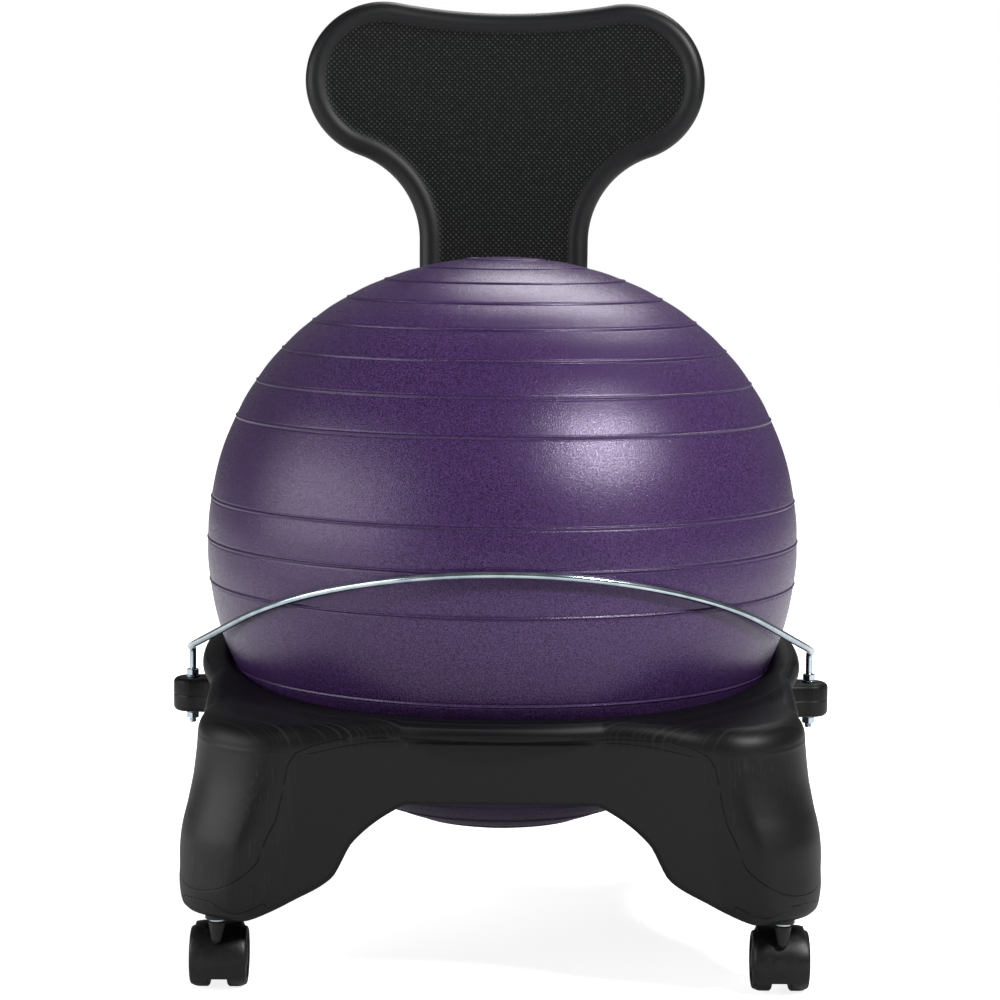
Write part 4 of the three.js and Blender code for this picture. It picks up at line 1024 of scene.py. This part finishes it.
def wheel_shell(x, y, side):
    """A tread of 25 mm radius with eased edges, a dished outer face with a cap, and five shallow
    pockets in the dish: depth 0.9 mm times a smooth step of cos 5a"""
    profile = [(0, 12.8), (3.2, 12.8), (3.2, 0.3), (9, 0.3), (10.5, 2.0), (19.5, 2.0), (21, 0.2), (23.4, 0.2),
               (25, 1.6), (25, 10.4), (22.8, 15.7), (19.6, 15.7), (18.3, 14.2), (9.6, 14.2), (8.4, 15.4),
               (3.0, 15.7), (0, 15.7)]
    reach = [0, 0.3, 0.3, 0.8, 0.8, 0.8, 0.8, 0.5, 1.2, 4.2, 1.6, 0.6, 0.8, 0.8, 0.8, 0.6, 0]
    r, h = eased(profile, reach, 6).T
    a = np.linspace(0, 2 * np.pi, 80, endpoint=False)
    pockets, pocket_depth, pocket_from, pocket_to = 5, 0.9, 10.4, 17.6
    on_dish = smooth(r - pocket_from) * smooth(pocket_to - r) * (h > 12)
    pocket = smooth((np.cos(pockets * a) + 0.2) / 0.5) * on_dish[:, None]
    height = h[:, None] - pocket_depth * pocket
    y_out, z_out = y + r[:, None] * np.cos(a), wheel_radius + r[:, None] * np.sin(a)
    return grid(np.stack([x + side * height, y_out, z_out], -1), wrap_columns=True)


def lever_shells(x, y, z):
    """A pedal 26 mm wide that rises 4 mm to the rear, with four grip ridges across it, two cheeks
    down to the pin, and the pin"""
    half, grip_half, cheek_half, cheek_out, pin_half = 13, 10.5, 1.1, 8.0, 9.0
    ridge, ridge_radius, first_ridge, ridge_pitch, slope = 0.5, 0.75, 7.5, 2.5, 0.328
    root, top = 4.8, 2.9
    pedal = eased([(root, -0.2), (17, 3.8), (17.2, 6.9), (root, top)], 1.2, 5, closed=True)
    cheek = eased([(-2.6, -2.4), (7.5, -0.2), (7.8, 3.0), (-2.6, 2.6)], 1.6, 5, closed=True)
    shells = [slab(pedal, edge(-half, half, 1.3, 5), along_x((x, y, z)))]
    for along in first_ridge + ridge_pitch * np.arange(4):
        middle = (along, top + (along - root) * slope - ridge_radius + ridge)
        shells.append(slab(arc(middle, ridge_radius, 0, 345, 23), edge(-grip_half, grip_half, 0.35, 3),
                           along_x((x, y, z))))
    shells += [slab(cheek, edge(-cheek_half, cheek_half, 0.35, 3), along_x((x + out, y, z)))
               for out in (-cheek_out, cheek_out)]
    pin = [(0, -pin_half), (1.2, -pin_half), (1.6, 0.4 - pin_half), (1.6, pin_half - 0.4), (1.2, pin_half),
           (0, pin_half)]
    return shells + [turned(pin, 24, "x", (x, y, z))]


def joint_mm(name):
    """A joint's place in millimetres"""
    joint = next(j for j in frame["joints"] if j["name"] == name)
    return np.array(joint["pos_m"]) / MM


def stem_shell(x, y, low, top):
    """A steel stem turned round its axis: a 2 mm collar under the foot and a snap ring near the top"""
    tail, shoulder, collar_radius, ring, collar_thick, collar_drop = 4, 5.5, 6.4, 5.75, 2, 36.3
    collar = top - collar_drop
    profile = [(0, low), (3.2, low), (tail, low + 0.8), (tail, collar), (collar_radius, collar),
               (collar_radius, collar + collar_thick), (shoulder, collar + collar_thick), (shoulder, top - 8),
               (ring, top - 7.8), (ring, top - 4.2), (shoulder, top - 4), (shoulder, top - 1.5), (tail, top),
               (0, top)]
    return turned(eased(profile, 0.4, 3), 48, centre=(x, y, 0))


def socket_shell(x, y, low, top):
    """A sleeve with a closed top, whose lip stands 0.15 mm out of the foot"""
    bore, outer, lip, top_thick = 6.05, 9.4, 0.15, 3
    profile = [(bore, low - lip), (outer, low - lip), (outer, top), (0, top), (0, top - top_thick),
               (bore, top - top_thick)]
    return closed_turned(profile, 48, centre=(x, y, 0))


def make_casters():
    """Each caster at its own CAD place: socket, stem, hood, wheels and, behind, the brake lever"""
    for corner in ("front_left", "front_right", "rear_left", "rear_right"):
        stem, socket = f"caster_stem_{corner}", f"caster_socket_{corner}"
        low, high, (x, y, _) = box_mm(stem)
        piece(f"zinc_stem_{corner}", [stem_shell(x, y, low[2], high[2])], zinc, "base", stem)
        low, high, _ = box_mm(socket)
        piece(f"pressed_in_socket_{corner}", [socket_shell(x, y, low[2], high[2])], nylon, "base", socket)
        axle_y = box_mm(f"caster_axle_{corner}")[2][1]
        hood_top = box_mm(f"caster_hood_{corner}")[1][2]
        hood = hood_shells(axle_y, x) + [neck_shell(x, y, hood_top)]
        if corner.startswith("rear"):
            _, pin_y, pin_z = joint_mm(f"brake_press_{corner}")
            hood += lug_shells(x, pin_y, pin_z, axle_y)
            piece(f"pedal_{corner}", lever_shells(x, pin_y, pin_z), nylon, f"brake_{corner}",
                  f"brake_lever_{corner}")
        piece(f"moulded_hood_{corner}", hood, nylon, f"caster_{corner}", f"caster_hood_{corner}")
        for where in ("outboard", "inboard"):
            name = f"wheel_{corner}_{where}"
            low, high, middle = box_mm(name)
            side, start = (1, low[0]) if middle[0] > x else (-1, high[0])
            piece(f"moulded_{name}", [wheel_shell(start, axle_y, side)], nylon, name, name)
        axle = frame["nodes"][f"caster_axle_{corner}"]
        axle.data.materials.clear()
        axle.data.materials.append(zinc[0])


make_casters()


# ---------------------------------------------------------------- floor, light and camera

def seen_by_eye(tree, in_gloss):
    """1 for what the camera sees straight or through glass, a given share in reflections, else 0"""
    rays = add(tree, "LightPath").outputs
    gloss = add(tree, "Math", (rays["Is Glossy Ray"], in_gloss), operation="MULTIPLY")
    clear = add(tree, "Math", (rays["Is Camera Ray"], rays["Is Transmission Ray"]), operation="MAXIMUM")
    return add(tree, "Math", (clear, gloss), operation="MAXIMUM")


def pale_floor():
    """A white sweep: plain matt white that keeps a soft shadow under the chair. To the camera, and to
    gloss and glass, it glows, more so away from the chair, so that it reads as white paper. It throws
    less light back up than it shows, as a sweep far larger than its lights does, and less again near
    the chair, a painted shade under the chair in the light it throws up"""
    material, tree, shader, place = new_finish("matt_white_sweep")
    away = add(tree, "VectorMath", (place,), operation="LENGTH").outputs["Value"]
    seen = seen_by_eye(tree, add(tree, "MapRange", (away, 0.25, 1.0, 0.1, 0.4)))
    # Painted shade: near the chair the floor throws back darker light, standing in for the shadow under the
    # chair
    thrown_with_painted_shade = add(tree, "MixRGB", (add(tree, "MapRange", (away, 0.15, 0.45)), srgb("707070"), srgb("c8c8c8")))
    white = add(tree, "MixRGB", (seen, thrown_with_painted_shade, srgb("ececec")))
    fill(tree, shader, {"Base Color": white, "Roughness": 0.9, "Specular IOR Level": 0.0})
    glow = add(tree, "MapRange", (away, 0.4, 0.9, 0.84, 1.2))
    glow = add(tree, "Math", (glow, seen), operation="MULTIPLY")
    emission = add(tree, "Emission", {"Color": (1, 1, 1, 1), "Strength": glow})
    output = next(n for n in tree.nodes if n.type == "OUTPUT_MATERIAL")
    fill(tree, output, {"Surface": add(tree, "AddShader", (shader, emission))})
    return material


def make_stage():
    """A flat floor 12 m across"""
    half = 6.0
    mesh = bpy.data.meshes.new("floor")
    mesh.from_pydata([(-half, -half, 0), (half, -half, 0), (half, half, 0), (-half, half, 0)], [],
                     [(0, 1, 2, 3)])
    mesh.materials.append(pale_floor())
    floor = bpy.data.objects.new("floor", mesh)
    bpy.context.scene.collection.objects.link(floor)


def softbox(name, place, aim, size, watts):
    """An oblong area lamp that faces a point"""
    lamp = bpy.data.lights.new(name, "AREA")
    lamp.shape = "RECTANGLE"
    lamp.size, lamp.size_y = size
    lamp.energy = watts
    holder = bpy.data.objects.new(name, lamp)
    bpy.context.scene.collection.objects.link(holder)
    back = np.array(place, float) - np.array(aim, float)
    back /= np.linalg.norm(back)
    right = np.cross([0, 0, 1], back)
    right /= np.linalg.norm(right)
    up = np.cross(back, right)
    turn = Matrix(np.column_stack([right, up, back]).tolist()).to_4x4()
    holder.matrix_world = Matrix.Translation(place) @ turn
    return holder


def make_light():
    """A key box right of the camera and high, a wide dim box at the left, one overhead, a white
    backdrop behind that gloss doesn't show, and a dim room"""
    chair = (0, 0, 0.36)
    softbox("key", (1.56, -1.48, 2.08), chair, (0.52, 0.4), 78)
    softbox("left_wall", (-2.14, -0.84, 0.92), chair, (2.4, 1.2), 33)
    softbox("overhead", (0.45, 1.4, 2.3), chair, (1.3, 0.7), 26)
    backdrop = softbox("backdrop", (0, 3.0, 1.4), (0, 0, 0.5), (4.5, 2.8), 20)
    backdrop.visible_glossy = False
    world = bpy.data.worlds.new("white_room")
    bpy.context.scene.world = world
    world.use_nodes = True
    tree = world.node_tree
    tree.nodes.clear()
    strength = add(tree, "MapRange", (seen_by_eye(tree, 0.1), 0.0, 1.0, 0.06, 1.0))
    add(tree, "OutputWorld", {"Surface": add(tree, "Background", ((1, 1, 1, 1), strength))})


def make_camera():
    """A long lens 2.5 m in front of the ball, a little above it: it looks 6.2 degrees down, 0.24
    degrees to the right, and is rolled 0.55 degrees"""
    turn_right, look_down, roll = 0.241, 6.152, 0.548
    lens = bpy.data.cameras.new("camera")
    lens.lens, lens.sensor_width, lens.clip_end = 105.47, 36.0, 50
    camera = bpy.data.objects.new("camera", lens)
    bpy.context.scene.collection.objects.link(camera)
    place = Matrix.Translation((-0.0129, -2.5193, 0.6434))
    for degrees, axis in ((-turn_right, "Z"), (90 - look_down, "X"), (roll, "Z")):
        place = place @ Matrix.Rotation(math.radians(degrees), 4, axis)
    camera.matrix_world = place
    bpy.context.scene.camera = camera


make_stage()
make_light()
make_camera()
bpy.context.scene.view_settings.view_transform = "Standard"


def corners(box):
    """A box's two corners as plain lists"""
    return [[float(v) for v in corner] for corner in box]
